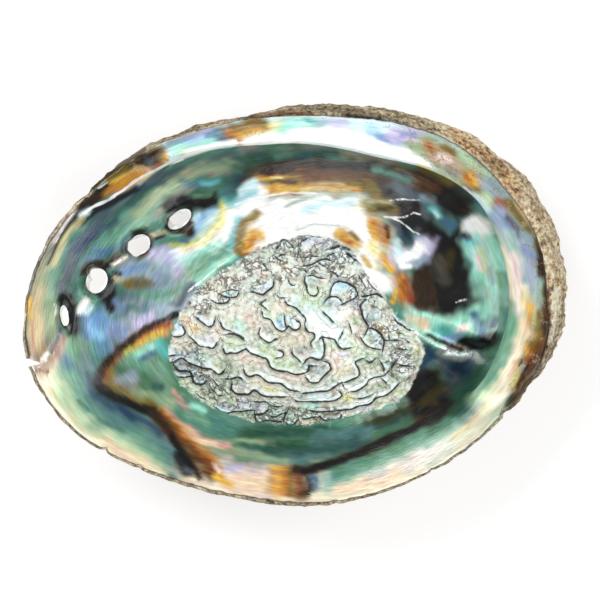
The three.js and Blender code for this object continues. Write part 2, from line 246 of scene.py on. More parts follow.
def wornRing(angle, share, height):
    cos, sin = np.cos(np.radians(angle)), np.sin(np.radians(angle))
    near = share / np.hypot(cos / wornSpot["halfLength"], sin / wornSpot["halfWidth"])
    return np.stack([wornSpot["x"] + near * cos, wornSpot["y"] + near * sin, height + 0 * cos], -1)


def skinRings():
    even = np.arange(skin["segments"]) * 360 / skin["segments"]
    angle = even - shellForm["endTightening"] * np.sin(2 * np.radians(even))
    section = shelfSection(angle)
    shelf = shelfShareAt(angle)[:, None]
    reach = shellForm["rimReach"]
    rings = []
    shares = []
    for part in skinParts:
        for i in range(skin[part]):
            share = i / skin[part]
            if part == "worn":
                share = (i + 1) / (skin[part] + 1)
                ring = wornRing(angle, share, 0)
            elif part == "outside":
                share = share ** crowding
                ring = outsidePoint(angle, share)
            elif part == "shoulder":
                ring = shoulderPoint(angle, share)
            elif part == "rim":
                lip = insidePoint(angle, mix(1, reach, share))
                ring = mix(lip, alongSection(section, share), shelf)
            elif part == "inside":
                ring = insidePoint(angle, reach * (1 - share))
            else:
                ring = wornRing(angle, 1 - share, shellForm["floorThickness"])
            rings.append(ring)
            shares.append([skinParts.index(part), share])
    return angle, np.array(rings), np.array(shares)


# distance from a straight stretch between two places, and how far along it
def fromStretch(x, y, start, end):
    lengthX, lengthY = end[0] - start[0], end[1] - start[1]
    along = ((x - start[0]) * lengthX + (y - start[1]) * lengthY) / (lengthX ** 2 + lengthY ** 2)
    kept = np.clip(along, 0, 1)
    return np.hypot(x - start[0] - kept * lengthX, y - start[1] - kept * lengthY), along


# coil: distance, turn and phase of a place; lines of equal phase are spirals
def coilPlace(x, y):
    away = np.maximum(np.hypot(x - coil["x"], y - coil["y"]), coil["least"])
    turn = np.arctan2(y - coil["y"], x - coil["x"])
    return away, turn, turn - np.log(away) / coil["growth"]


def fromSpiral(x, y, phase):
    away, turn, own = coilPlace(x, y)
    gap = own - phase
    gap -= 2 * np.pi * np.round(gap / (2 * np.pi))
    return gap * away * coil["growth"] / np.hypot(1, coil["growth"])


growthSearch = {"oldest": 12.0, "halvings": 22}


# how long ago the lip was at a place, as a turn of the coil back from now
def growthAt(x, y):
    low = np.zeros(len(x))
    high = np.full(len(x), growthSearch["oldest"])
    for i in range(growthSearch["halvings"]):
        back = (low + high) / 2
        size = np.exp(coil["growth"] * back)
        dx, dy = x - coil["x"], y - coil["y"]
        grownX = coil["x"] + size * (np.cos(back) * dx - np.sin(back) * dy)
        grownY = coil["y"] + size * (np.sin(back) * dx + np.cos(back) * dy)
        within = np.hypot(grownX, grownY) < outlineAt(np.degrees(np.arctan2(grownY, grownX)))
        low = np.where(within, back, low)
        high = np.where(within, high, back)
    return low


# row of breathing holes: turn round the coil in degrees, and widths along and across the row
rowPhase = -4.764
openHoles = [
    {"turn": 171.9, "along": 4.7, "across": 1.9, "lean": 46, "stain": 0.5},
    {"turn": 165.6, "along": 6.1, "across": 4.9, "lean": 24, "stain": 1},
    {"turn": 157.6, "along": 5.4, "across": 4.4, "lean": 6, "stain": 0.8},
    {"turn": 150.2, "along": 6.4, "across": 3.7, "lean": 10, "stain": 0.7},
]
closedHoles = {"first": 143.4, "step": 7, "count": 30}
collar = {
    "height": 1.1, "radius": 4.6, "least": 0.6, "fullSize": 90, "pit": 0.9, "pitRadius": 1.9, "leastPit": 0.3,
}
keel = {"height": 1.3, "width": 5, "least": 1, "fullSize": 60}
furrow = {"depth": 0.9, "away": 9, "width": 4.5, "least": 1}


def rowPoint(turn):
    away = np.exp(coil["growth"] * (np.radians(turn) - rowPhase))
    return coil["x"] + away * np.cos(np.radians(turn)), coil["y"] + away * np.sin(np.radians(turn)), away


# keel and furrow along the row, a collar round each hole, and a pit in the closed ones
def rowRelief(x, y):
    size = np.clip(coilPlace(x, y)[0] / keel["fullSize"], 0, 1)
    away = fromSpiral(x, y, rowPhase)
    ridge = keel["height"] * hill(away, keel["width"] * size + keel["least"])
    trough = furrow["depth"] * hill(away + furrow["away"] * size, furrow["width"] * size + furrow["least"])
    rings = np.zeros(len(x))
    closed = [closedHoles["first"] - closedHoles["step"] * i for i in range(closedHoles["count"])]
    for turn in [hole["turn"] for hole in openHoles] + closed:
        centreX, centreY, away = rowPoint(turn)
        scale = min(away / collar["fullSize"], 1)
        gap = np.hypot(x - centreX, y - centreY)
        ring = collar["height"] * hill(gap, collar["radius"] * scale + collar["least"])
        if turn in closed:
            ring = ring - collar["pit"] * hill(gap, collar["pitRadius"] * scale + collar["leastPit"])
        rings = np.where(np.abs(ring * scale) > np.abs(rings), ring * scale, rings)
    return (ridge - trough) * size + rings


# low cone of the spire and the seam between its turns
spire = {"height": 6, "radius": 25, "growth": 0.32, "fullSize": 9}
seam = {"turn": -29.6, "away": 21.3, "depth": 1.6, "width": 2.2, "ledge": 0.9, "ledgeAway": 3.4,
        "ledgeWidth": 2.4, "least": 0.3}


def spireRelief(x, y):
    away, turn = coilPlace(x, y)[:2]
    lap = 2 * np.pi * spire["growth"]
    back = ((np.radians(seam["turn"]) - turn) / (2 * np.pi)) % 1
    outerTurn = seam["away"] * np.exp(-lap * back)
    laps = np.minimum(0, np.round(np.log(away / outerTurn) / lap))
    nearest = outerTurn * np.exp(lap * laps)
    out = away - nearest
    size = np.minimum(1, nearest / spire["fullSize"])
    cone = spire["height"] * (1 - ease(0, spire["radius"], away))
    least = seam["least"]
    sunk = seam["depth"] * size * hill(out, seam["width"] * size + least)
    ledge = seam["ledge"] * size * hill(out + seam["ledgeAway"] * size, seam["ledgeWidth"] * size + least)
    return cone - sunk + ledge


# rough back: seasonal swellings, spiral ribs, growth lines, lumps and grains
crust = {
    "season": {"turn": 0.16, "height": 0.75, "fullSize": 70},
    "lump": {
        "height": 0.45, "lengthX": 4.1, "lengthY": 3.7,
        "bendX": 5.9, "bendY": 6.3, "swayX": 1.7, "swayY": 1.3,
    },
    "ribs": {"count": 46, "height": 0.32, "wander": 2.5, "even": 0.6},
    "growthLines": {"turn": 0.034, "height": 0.16, "wander": 3},
    "patch": {"size": 5, "height": 0.35},
    "grain": {"size": 1.5, "height": 0.3},
    "shoulderGrain": {"size": 1.9, "height": 0.5},
}


def crustRelief(x, y, points):
    away, _, phase = coilPlace(x, y)
    season = crust["season"]
    size = np.clip(away / season["fullSize"], 0, 1)
    growth = growthAt(x, y)
    swelling = season["height"] * size * np.cos(growth / season["turn"] * 2 * np.pi)
    lump = crust["lump"]
    lumpX = np.sin(x / lump["lengthX"] + lump["swayX"] * np.sin(y / lump["bendY"]))
    lumpY = np.sin(y / lump["lengthY"] + lump["swayY"] * np.sin(x / lump["bendX"]))
    patch = cloud(points, crust["patch"]["size"], 3)
    ribs = crust["ribs"]
    rib = np.cos(ribs["count"] * phase + ribs["wander"] * patch) * ribs["height"] * (ribs["even"] + patch)
    lines = crust["growthLines"]
    line = np.cos(growth / lines["turn"] * 2 * np.pi + lines["wander"] * patch) * lines["height"]
    return swelling + lump["height"] * lumpX * lumpY + (rib + line) * size + patch * crust["patch"]["height"]


# muscle scar on the floor, a raised field of silvery pads
scar = {"x": 1, "y": -8.5, "rise": 1.1, "edge": 3}
scarBorder = 4  # how far past its outline the scar is still worked out
padForm = {
    "front": 0.34, "run": 1.5, "foot": 0.12, "footRun": 0.5, "lip": 0.22, "fullWidth": 0.28, "largest": 1.2,
    "reach": 4, "crumbSize": 1.5, "crumb": 0.32, "leastCrumbs": 0.25, "fade": (-0.5, 1), "sunk": 0.1,
}
scarOutline = [
    [0, 33.5], [10, 28.8], [20, 27], [35, 25.8], [50, 27], [65, 28.5], [80, 28.5], [95, 27.8], [110, 27.5],
    [125, 27], [140, 28.5], [155, 31.8], [165, 33.5], [175, 35], [185, 37], [195, 36.8], [205, 35.5],
    [215, 33], [225, 30.5], [240, 27.8], [255, 26], [270, 25.5], [285, 25.6], [300, 26.7], [315, 30],
    [325, 33], [335, 34.6], [345, 35], [352, 36],
]
scarOutlineAt = around(scarOutline)


# how far inside the scar's outline a place is
def insideScar(x, y):
    dx, dy = x - scar["x"], y - scar["y"]
    return scarOutlineAt(np.degrees(np.arctan2(dy, dx))) - np.hypot(dx, dy)


# front edges of the pads, drawn as dark lines, partly a stain and partly a painted shadow under the step:
# half width, then places in mm; the pad is on the left of its run
padLines = readRows("""
# middle
0.3 -20.3,-12.6 -20.1,-13.5 -19.3,-13.9 -18.4,-13.5 -17.1,-13.7 -16,-13.5 -15,-12.9 -14,-12.4 -13.3,-13.1
  -12.5,-13.8 -11,-14.2 -10,-14.7 -8.9,-14.9 -8.2,-15.2 -7.8,-16 -7.5,-17 -6.8,-17.9 -5.8,-18.3 -4.8,-18.6
  -3.4,-18.7 -2.3,-18.8 -1.5,-19.3 -0.4,-19.6 0.9,-19.6 2.1,-19.4 3,-19 3.6,-18.2 3.6,-17.2
0.22 3.5,-17.1 4.4,-17.2 5.5,-17.2
0.24 -9.5,-2.2 -9.4,-3.3 -8.9,-3.9 -7.9,-4 -7,-4.4 -6.4,-5.4 -5.9,-6.4 -5.2,-7.1 -4.2,-7.6 -3.4,-7.5 -2.8,-7
  -2.5,-6.3
0.24 -2.6,-6.4 -3,-5.6 -3.2,-4.4 -3.3,-3.6
0.26 -2.5,-6.2 -1.9,-6.1 -1.3,-6.8 -0.4,-7.2 0.5,-7.1 1.2,-6.4 1.3,-5.5 0.8,-4.9 0.2,-4.6
0.26 -2.9,0.6 -2.5,-0.1 -1.6,-0.4 -0.6,-0.8 0.3,-1.3 1,-2.1 1.6,-2.9 2.4,-3.5 2.7,-4.2 2.4,-5.2 2.5,-6.4
  3.1,-7.4 3.7,-7.9 4.6,-7.9 5.2,-8.4 5.3,-9.2 4.7,-9.9 4.1,-10.6 4,-11.2 4.4,-11.7
0.28 6.7,-9.7 7.3,-9.1 8.4,-9.3 9.6,-9.5 10.5,-9.7 11.1,-10.4 11.7,-11.4 12.3,-12.2 13.1,-12.6 14.3,-12.4
  15.2,-12.2
0.28 2.4,-16.3 2.8,-15.6 3.6,-15 4.4,-14.8 5.3,-15.3 6.4,-15.6 7.2,-15.3 7.8,-14.4 8,-13 8,-11.6 7.7,-10.4
  7.4,-9.4
0.22 -10.1,-6.9 -10.5,-7.9 -10.3,-8.9 -9.6,-9.6 -8.6,-10.2 -7.6,-10.8 -6.8,-10.5 -6.2,-9.9 -5.6,-9.7
0.2 -5.4,-15 -4.6,-14.9 -3.8,-14.7 -3.4,-14.1 -3.6,-13.4 -4.2,-13 -4.9,-12.9
0.26 -1.1,-13.1 -1.2,-13.8 -0.5,-14.5 0.3,-15.1 1,-15.9
0.26 3,-20.6 3.4,-21.4 4.2,-21.9 5.4,-22 6.4,-21.8 7,-21 7.6,-20.2 8.4,-19.4 9.4,-18.6 9.9,-17.9 9.5,-17
  9.1,-16.2 8.2,-16
# above the middle
0.3 -12.4,3.5 -11.5,3.5 -10.4,2.9 -9.4,2.6 -8.7,3 -8.2,3.7 -7.3,4.2 -6.5,4.9 -6.2,5.7 -6.2,6.3
0.24 -8.7,1.1 -9.5,0.6 -10,0.1 -9.4,-0.5 -8.5,-1.1
0.18 -5.2,2.4 -4.6,1.8 -3.8,1.8 -3,1.9
0.3 2.5,7.5 2.3,6.6 2.8,5.6 3,4.6
0.2 3,4.5 3.2,3.6 3.8,2.7 4.8,2.2 5.8,2.6 6.3,3.6 6,4.6
0.2 7.4,7.3 6.2,7.5 5.6,7.8 4.6,8.2 3.4,8
0.26 12.6,1.1 12,1.8 11.2,2.3 10.2,2.2 9.4,2.2 8.6,1.6 8,0.6
0.2 12.2,6.5 11.2,6.3 10.5,5.8 10,4.8 9.6,3.6 9.5,2.4
0.32 17.2,3 16.8,4.2 16.2,5 15.2,5.6 14.2,6.1 12.6,6.5
0.24 12.8,0 14,0.5 15,1 16.2,1.6 17,2.3 17.3,3
0.26 7.6,-2.1 8.3,-2.9 9.1,-3.5 9.7,-4.3 10.4,-4.9
0.24 10.4,9 11.2,8.6 11.6,7.8
# top
0.3 9.4,12.4 8.2,12.8 6.8,12.5 5.8,12
0.24 5.8,12 4.6,11.2 3.4,10.9 2.2,10.8
0.2 8,10.6 7.2,11 6.4,11.6
0.26 10.4,14.3 9.4,14 8.8,13.5
0.34 12,16.2 11.2,16.1 10.4,15.8 9.7,15.6
0.34 17.4,14.9 16.4,14.9 15.2,15.3 14.2,15.9 13.2,16.2
0.34 15.4,13.4 14.8,13.9 14.4,14.3
0.3 18,11.9 17.4,12 16.4,12.6
0.2 3,18.4 1.8,17.8 0.6,16.6
0.16 7.2,18.8 6,19 4.4,19.1 2.6,19.4 1,19.2
0.14 5,21.3 3,20.8 1.2,20.4
0.2 -2.2,18.4 -3.2,18.4 -4.2,17.8
0.22 -0.8,15.9 -1.2,16.6 -2,17.3
0.3 -4.9,16.3 -5.4,15.7
0.24 -3.2,13.9 -4,14 -4.6,13.6
0.24 -4.2,12.3 -5,12.6 -5.6,13.2
0.2 5.9,13.4 5,13.5 4.3,13.6 4,12.8
0.22 0.5,13.6 0.7,14.4
0.2 3.3,13.2 2.5,13.2
0.22 -8.7,10.6 -9.2,11.3
0.2 3,9 2.4,9.6
0.2 -0.4,5.4 -1,5.2 -1.8,5.8 -2.1,6.6
# left
0.28 -27.6,-3.8 -26.6,-4.8 -25.6,-5.6 -24.6,-6.2 -23.6,-6.2 -23,-5.6 -22.8,-4.8
0.28 -34.8,-8.4 -34.2,-9 -32.8,-9 -31.5,-8.8 -30.9,-8 -31,-7 -31.5,-6.4
0.24 -36.1,-7.4 -36,-9.6 -35.9,-11.6 -36,-13.2
0.3 -36.2,-14.6 -35.2,-14.3 -34.2,-14.2
0.22 -36,-16.3 -34.8,-16.2 -33.8,-16
0.28 -29.5,-9.2 -28.6,-10 -27.8,-10.9 -26.9,-11.7 -25.6,-11.8 -24.5,-12 -23.4,-12.4 -22.6,-12 -22.2,-11
0.26 -21.3,-5 -20.9,-6 -20.2,-6.8 -19.2,-7.2 -18.6,-7.4
0.38 -18.9,-8.3 -17.5,-8.3 -16.4,-8.5 -15.5,-9 -14.9,-9.6
0.28 -33.4,-15.7 -32.6,-15.2 -31.8,-14.9 -31,-15.4 -30.2,-16.2 -29,-16.6 -27.6,-17.2 -26,-17.8 -24.4,-17.9
  -23.2,-18.2 -22.4,-19.2 -21.6,-19.6 -20.6,-19.2 -20.2,-18.6
0.34 -34.2,-16.5 -33.5,-17.6 -32.6,-18.6 -31.6,-18.6 -30.5,-18.4 -29.4,-18.8 -28.9,-19.8 -28.8,-21 -28.2,-22
  -27,-22.2 -26,-22.3 -25.3,-21.8
0.26 -32.8,-20.2 -31,-20.3 -29,-20
0.24 -23.4,1.1 -22.8,0.6 -21.8,0.3 -20.8,0.2 -19.8,0.4 -19,0.8 -18.6,1.6
0.24 -20.4,2.4 -19.4,2 -18.2,1.9 -17,2 -16.3,2.5 -16.1,3.1
0.14 -16.2,3.8 -17.6,4.1 -19,4 -20.4,3.4
0.14 -24,-22.4 -23.6,-23.4 -22.8,-24.2 -22,-25.2 -21.2,-25.6 -20.6,-25.4
0.14 -27.4,-25 -26.6,-25.8 -25.4,-26.2
0.14 -23.4,-20.8 -22.6,-21.6 -21.6,-22.8
# rows along the lower border
0.28 -14.5,-18.4 -14.4,-19.4 -13.6,-20 -12.4,-20.2 -11.5,-19.6 -10.6,-19.7 -9.8,-20.2 -9,-21 -8,-21.7 -6.6,-22
  -5,-21.9 -4,-22.2 -3.2,-22.9 -2.4,-23.6 -1.4,-24 0.4,-24.2
0.26 -19.5,-20.8 -18.4,-20.9 -17.4,-20.6 -16.6,-20.3 -15.6,-20.4 -15.1,-20.8
0.32 -18,-22.4 -18.1,-23.4 -17.8,-24 -17.2,-24.7 -16.2,-25.1 -14.6,-25 -13,-25.1 -12.6,-24.5 -12,-23.9
  -11.2,-24 -10.4,-24.7 -9.6,-25.3 -8.8,-25.7 -7.4,-25.8 -6,-25.7 -4.4,-25.9 -3.2,-25.8
0.2 -11.4,-27.1 -10,-27.2 -8.6,-27 -7.8,-27.5
0.2 -6.6,-28.2 -5.4,-28.5 -4,-28.4
0.28 -22,-29 -21.2,-29.8 -20,-30.2 -18.6,-30.2 -17.4,-29.8 -16.4,-29.6 -15.2,-29.9 -14,-29.5 -12.4,-29.5
0.3 -11.4,-30.8 -11.3,-31.8 -11,-32.6 -10,-32.8 -8.6,-32.4 -7.2,-32.1 -5.6,-32.6 -4,-32.6
0.34 -11.4,-30.6 -10.4,-30.7 -9,-30.4 -8.1,-29.7
0.26 -7,-31 -6,-31.5 -5,-31 -4,-30.4
0.26 2,-24.8 3.2,-24.7 4.4,-24.6 6,-24.3 8,-24.3 9.2,-24.1 10,-23.5 11,-22.9 12,-22.2 12.9,-21.8 14,-21.8
  15,-21.2 16.2,-20.8 17.2,-20.4 17.8,-19.6 17.7,-18.4 17.1,-17.3 16.4,-16.3 17.2,-15.7 18.6,-15.1
0.18 12.9,-22 13.3,-22.9
0.26 -0.4,-26.6 0.2,-27.1 1.6,-27.2 3.6,-27.1 5.4,-27.1 7.4,-27.1 9.4,-27.1 10.8,-26.8 12,-26.2 12.9,-25.5
  12.8,-24.8 12.2,-24.4
0.28 4,-29.6 6,-29.9 8,-29.9 10,-29.7 12,-29.6 13.4,-29.3 14.6,-29.3 15.8,-29.1 16.8,-28.6 17.6,-28.2
  18.8,-28.1 20,-27.9 21,-27.5 21.6,-26.8 22.1,-26 23.4,-25.8 25,-25.4 26,-24.7 27.2,-23.6 28,-22.8 28.6,-22.2
0.26 15.6,-24.4 16.6,-24.3 17.6,-23.8 18.6,-23.2 19.6,-22.4 20,-21.8 20.2,-21.2 21.2,-20.6 22.4,-20.3 24,-20.1
  25,-19.6 25.6,-18.9 26,-18.3
0.18 17.2,-26.2 18.4,-26.2 19.6,-25.9 20.8,-25.4 21.4,-25
0.2 2,-31.8 3.4,-31.8 4.6,-31.3 5.4,-31.3
0.24 6.6,-31.2 7.2,-31.8 8,-32.4 9.6,-32.2 11,-32 12.2,-31.8 12.6,-31
0.24 -2.8,-33 -2.2,-33.6 -1.2,-33.5 -0.2,-33 0.2,-32.3
0.34 -3.4,-32.2 -3.1,-31 -2.8,-30.2
0.3 5.6,-33.9 6.4,-34.1 7.2,-33.8 8.2,-33.6
0.26 24.2,-21 24.6,-21.4 25.1,-21.8
# right
0.34 18.4,-2.2 18.6,-3.4 19.2,-4.4 19.8,-5.4 20.2,-6.2
0.3 24,2 23.2,2.7 22.4,3 21,2.6 19.6,2.4 18.6,2.2
0.3 19.4,1.4 18.7,0.6 18,0 18,-0.9 18.4,-2
0.3 20.2,-6.5 19.7,-7.6 19.3,-8.4
0.26 18.2,-9.4 18.7,-10.5 19.5,-11.4 20.5,-12 22,-12.4 23.6,-12.6
0.34 24.3,-12.6 24.6,-11 24.6,-9.8 24.2,-8.8 23.4,-8 22.4,-7.2 21.4,-6.7 20.4,-6.6
0.22 12.3,-9.4 12.8,-8.5 13.1,-7.6
0.18 15,-5.6 15.4,-7 15.6,-8
0.24 19.8,-15.8 20.4,-16.2 21.2,-16.2 21.6,-15.6
0.3 23.8,-16.4 24.4,-17.4 24.6,-18.4
0.4 26.8,-17.4 27.3,-16.4 28,-15.6
0.24 25,-10.1 26.2,-10.1 27.2,-10 28.4,-10
0.2 26,-8.8 26.1,-9.8
0.24 28.6,-12.4 29.8,-12.6 30.8,-12.5
0.26 29,-16.8 30.4,-17.2 31.6,-17.2
0.34 28,-4.6 28.6,-5.5 29.6,-5.8
0.28 30.2,-6.2 31,-7 32,-7.3
0.22 31,-10.2 31.6,-10.6
0.22 20.6,13.6 19.6,14.2 18.6,14.6
0.16 24.4,9.6 23.2,10 22,11 20.9,12
0.14 22.4,4 21,5.2 20,6.8
0.14 19.4,5 18.4,6.6 17.6,8
""")

# where the scar is crumbly: strength, half width, places in mm
crumbStrokes = readRows("""
1 6 -12,10 -4,13 4,15 12,12
0.8 4 -26,1 -20,6 -13,9
0.7 4 16,9 18,3 21,-2
0.7 3 -29,-13 -27,-19 -23,-24 -18,-27
0.9 2.6 -14,-28.5 -6,-31 4,-31.5 10,-31
0.5 2.5 -19,-18 -17,-22 -10,-28
0.8 4.5 25,-8 28,-12 29,-17
0.5 2 18,-31 22,-28
""")


cornerCut = {"laps": 2, "share": 0.25}


# cuts the corners of a line of places, which leaves it smooth
def rounded(places):
    for lap in range(cornerCut["laps"]):
        cut = [places[0]]
        for a, b in zip(places, places[1:]):
            for far in (cornerCut["share"], 1 - cornerCut["share"]):
                cut.append(((1 - far) * a[0] + far * b[0], (1 - far) * a[1] + far * b[1]))
        places = cut + [places[-1]]
    return places


# distance to a line of places, more than zero on the left of its run
def signedGap(x, y, places):
    best = np.full(len(x), np.inf)
    side = np.ones(len(x))
    for start, end in zip(places, places[1:]):
        gap = fromStretch(x, y, start, end)[0]
        left = (end[0] - start[0]) * (y - start[1]) - (end[1] - start[1]) * (x - start[0])
        side = np.where(gap < best, np.where(left < 0, -1, 1), side)
        best = np.minimum(gap, best)
    return best * side


# calls use(line number, near, gap) for each line of the scar, near being the vertices close to it
def eachPadLine(x, y, reach, use):
    for number, (width, places) in enumerate(padLines):
        line = rounded(places)
        acrosses, alongs = zip(*line)
        near = (x > min(acrosses) - reach) & (x < max(acrosses) + reach)
        near &= (y > min(alongs) - reach) & (y < max(alongs) + reach)
        use(number, near, signedGap(x[near], y[near], line))


strokeEdge = (1.4, 0.6)  # where a stroke of strength starts and is full, in half widths


def covered(x, y, ground, strokes):
    value = np.full(len(x), float(ground))
    for strength, width, places in strokes:
        start, full = strokeEdge
        value = mix(value, strength, ease(start * width, full * width, fromLine(x, y, places)))
    return value


def fromLine(x, y, places):
    if len(places) == 1:
        return np.hypot(x - places[0][0], y - places[0][1])
    gaps = [fromStretch(x, y, start, end)[0] for start, end in zip(places, places[1:])]
    return np.min(gaps, axis=0)


# each pad is steep at its front line and runs out behind it, with crumbs over all
def scarRelief(x, y, points):
    depth = insideScar(x, y)
    relief = np.zeros(len(x))

    def add(number, near, gap):
        size = min(padLines[number][0] / padForm["fullWidth"], padForm["largest"])
        high = padForm["front"] * np.exp(-np.maximum(gap, 0) / padForm["run"]) * ease(0, padForm["lip"], gap)
        low = -padForm["foot"] * np.exp(np.minimum(gap, 0) / padForm["footRun"])
        relief[near] += size * np.where(gap > 0, high, low)
    eachPadLine(x, y, padForm["reach"], add)
    crumbs = cloud(points, padForm["crumbSize"], 2, seed=90) * padForm["crumb"]
    relief += crumbs * covered(x, y, padForm["leastCrumbs"], crumbStrokes)
    onPads = ease(*padForm["fade"], depth) * (relief - padForm["sunk"])
    return ease(-scar["edge"], 1, depth) * scar["rise"] + onPads


# funnels into the holes, creases between them, the fold that runs into the coil, and the groove
funnel = {"depth": 0.75, "width": 1.5, "rim": 0.25, "rimAway": 2.6, "rimWidth": 1.2}
crease = {"height": 0.35, "width": 0.9, "starts": (0.2, 0.4), "ends": (0.9, 0.7)}
fold = {"from": [29, -3.5], "to": [51, -13.4], "height": 1.5, "width": 2.4, "starts": (-0.3, 0.6)}
groove = {"from": [-71, -17.5], "to": [-63.5, -5.5], "depth": 0.7, "width": 2}
ripple = {"size": 14, "height": 0.3, "fineSize": 4.5, "fineHeight": 0.05}


# the way an open hole's length points
def holeTurn(hole):
    return np.radians(hole["turn"] + 90 + hole["lean"]) - np.arctan(coil["growth"])


# distance out from the edge of an open hole, less than zero inside it
def fromHole(x, y, hole):
    centreX, centreY, _ = rowPoint(hole["turn"])
    turn = holeTurn(hole)
    along = (x - centreX) * np.cos(turn) + (y - centreY) * np.sin(turn)
    across = (y - centreY) * np.cos(turn) - (x - centreX) * np.sin(turn)
    radius = np.hypot(along / (hole["along"] / 2), across / (hole["across"] / 2))
    return (radius - 1) * (hole["along"] + hole["across"]) / 4


def hollowRelief(x, y):
    relief = np.zeros(len(x))
    for hole in openHoles:
        gap = fromHole(x, y, hole)
        relief -= funnel["depth"] * hill(np.maximum(gap, 0), funnel["width"])
        relief += funnel["rim"] * hill(gap - funnel["rimAway"], funnel["rimWidth"])
    places = [rowPoint(hole["turn"]) for hole in openHoles]
    for start, end in zip(places, places[1:]):
        gap, along = fromStretch(x, y, start, end)
        ends = ease(*crease["starts"], along), ease(*crease["ends"], along)
        relief += crease["height"] * hill(gap, crease["width"]) * ends[0] * ends[1]
    gap, along = fromStretch(x, y, fold["from"], fold["to"])
    relief += fold["height"] * ease(*fold["starts"], along) * hill(gap, fold["width"])
    relief -= groove["depth"] * hill(fromStretch(x, y, groove["from"], groove["to"])[0], groove["width"])
    return relief


# width in mm of the band of crust that shows along the outer edge of the rim, seen from above
lipBand = [
    [0, -0.4], [20, -0.8], [45, -1.8], [60, -1.6], [75, -1.1], [90, -1], [100, -0.8], [115, -0.7],
    [130, -0.4], [145, 0.2], [158, 0.8], [172, 0.7], [182, 0.5], [192, 0.3], [205, 0.3], [220, 0.5],
    [232, 0.8], [250, 0.9], [270, 1.1], [285, 0.8], [300, 0.4], [320, 0.3], [333, 0], [345, -1.6],
    [353, -1.2],
]
lipBandAt = around(lipBand)
edgeStep = 0.45  # the pearl ends in a step down to the crust
edgeRough = {"size": 1.6, "height": 0.35}
sideTrim = 0.75  # the crust's relief stands out, so the bulging side is drawn in by this much
# small chips in the edge: degrees round the middle, depth in mm, half width in degrees
chips = [
    [217.2, 0.9, 0.9], [309.6, 0.5, 0.7], [332.4, 0.9, 1.2], [340.5, 0.5, 1.2], [350, -2.2, 9],
    [152, 0.6, 1.3], [143.5, 0.4, 1.2], [64, 0.3, 1.6], [226, 0.4, 0.8], [281, 0.3, 0.8],
]


# where relief fades in or out: shares of the way over a part of the skin, shares of the shelf, or mm
fadeSpans = {
    "worn": (0, 0.184), "wornGrain": (0, 0.3), "thinLip": (0.88, 1), "thinLipGrain": (0.93, 1),
    "bulge": (0.8, 1), "shelfFace": (0.5, 0.62), "shelf": (0.15, 0.5), "scar": (2, -2),
    "step": (0.35, -0.35), "roughEdge": (0.5, -0.5), "rimEdge": (3, 0), "sideEdge": (0.95, 1),
    "chip": (1, 0.4),
}
thinLip = {"smoothed": 0.8, "grainKept": 0.3, "unevenOnShelf": 0.5}
outlineRough = {"height": 0.3, "size": 3.2, "pulledIn": 0.12}
shoulderBand = 0.4  # the band of crust reaches a little onto the shoulder
# how far each part of the skin is past the border of the crust: the back is all crust, the hollow has none
deepInCrust = 9
farFromCrust = -30
noCrust = -20


def fade(name, value):
    return ease(*fadeSpans[name], value)


# the coil, the row of holes, the crust and its grain; smoother on the worn spot and the thin lip
def backRelief(points, part, share, backShare, shelf):
    x, y = points[:, 0], points[:, 1]
    onShoulder = part == skinParts.index("shoulder")
    lipFade = 1 - thinLip["smoothed"] * fade("thinLip", backShare) * (1 - shelf)
    rimFade = np.where(onShoulder, 1 - ease(0, 1, share), 1)
    back = spireRelief(x, y) + rowRelief(x, y) + crustRelief(x, y, points)
    back = back * fade("worn", backShare) * lipFade * rimFade
    back -= sideTrim * fade("bulge", backShare) * shelf
    fine, coarse = crust["grain"], crust["shoulderGrain"]
    grain = cloud(points, fine["size"], 3) * fine["height"]
    bandGrain = cloud(points, coarse["size"], 3, seed=20) * coarse["height"]
    back += np.where(onShoulder, bandGrain * np.sin(np.pi * share) * shelf, 0)
    grainFade = mix(1, thinLip["grainKept"], fade("thinLipGrain", backShare) * (1 - shelf))
    return back + grain * fade("wornGrain", backShare) * grainFade


# the scar, the holes, the fold and soft ripples of the pearl
def insideRelief(points, inHollow):
    x, y = points[:, 0], points[:, 1]
    nearScar = inHollow & (insideScar(x, y) > -scarBorder)
    inside = hollowRelief(x, y)
    inside[nearScar] += scarRelief(x[nearScar], y[nearScar], points[nearScar])
    inside += cloud(points, ripple["size"], 2, seed=40) * ripple["height"] * fade("scar", insideScar(x, y))
    inside += cloud(points, ripple["fineSize"], 2, seed=60) * ripple["fineHeight"]
    return inside


# how far the outline is pushed in, by small unevenness and by chips
def outlineWear(points, turn):
    uneven = cloud(points * [1, 1, 0], outlineRough["size"], 3, seed=70) * outlineRough["height"]
    uneven -= outlineRough["pulledIn"]
    for where, deep, wide in chips:
        gap = (turn - where + 180) % 360 - 180
        uneven -= deep * fade("chip", np.abs(gap) / wide)
    return uneven


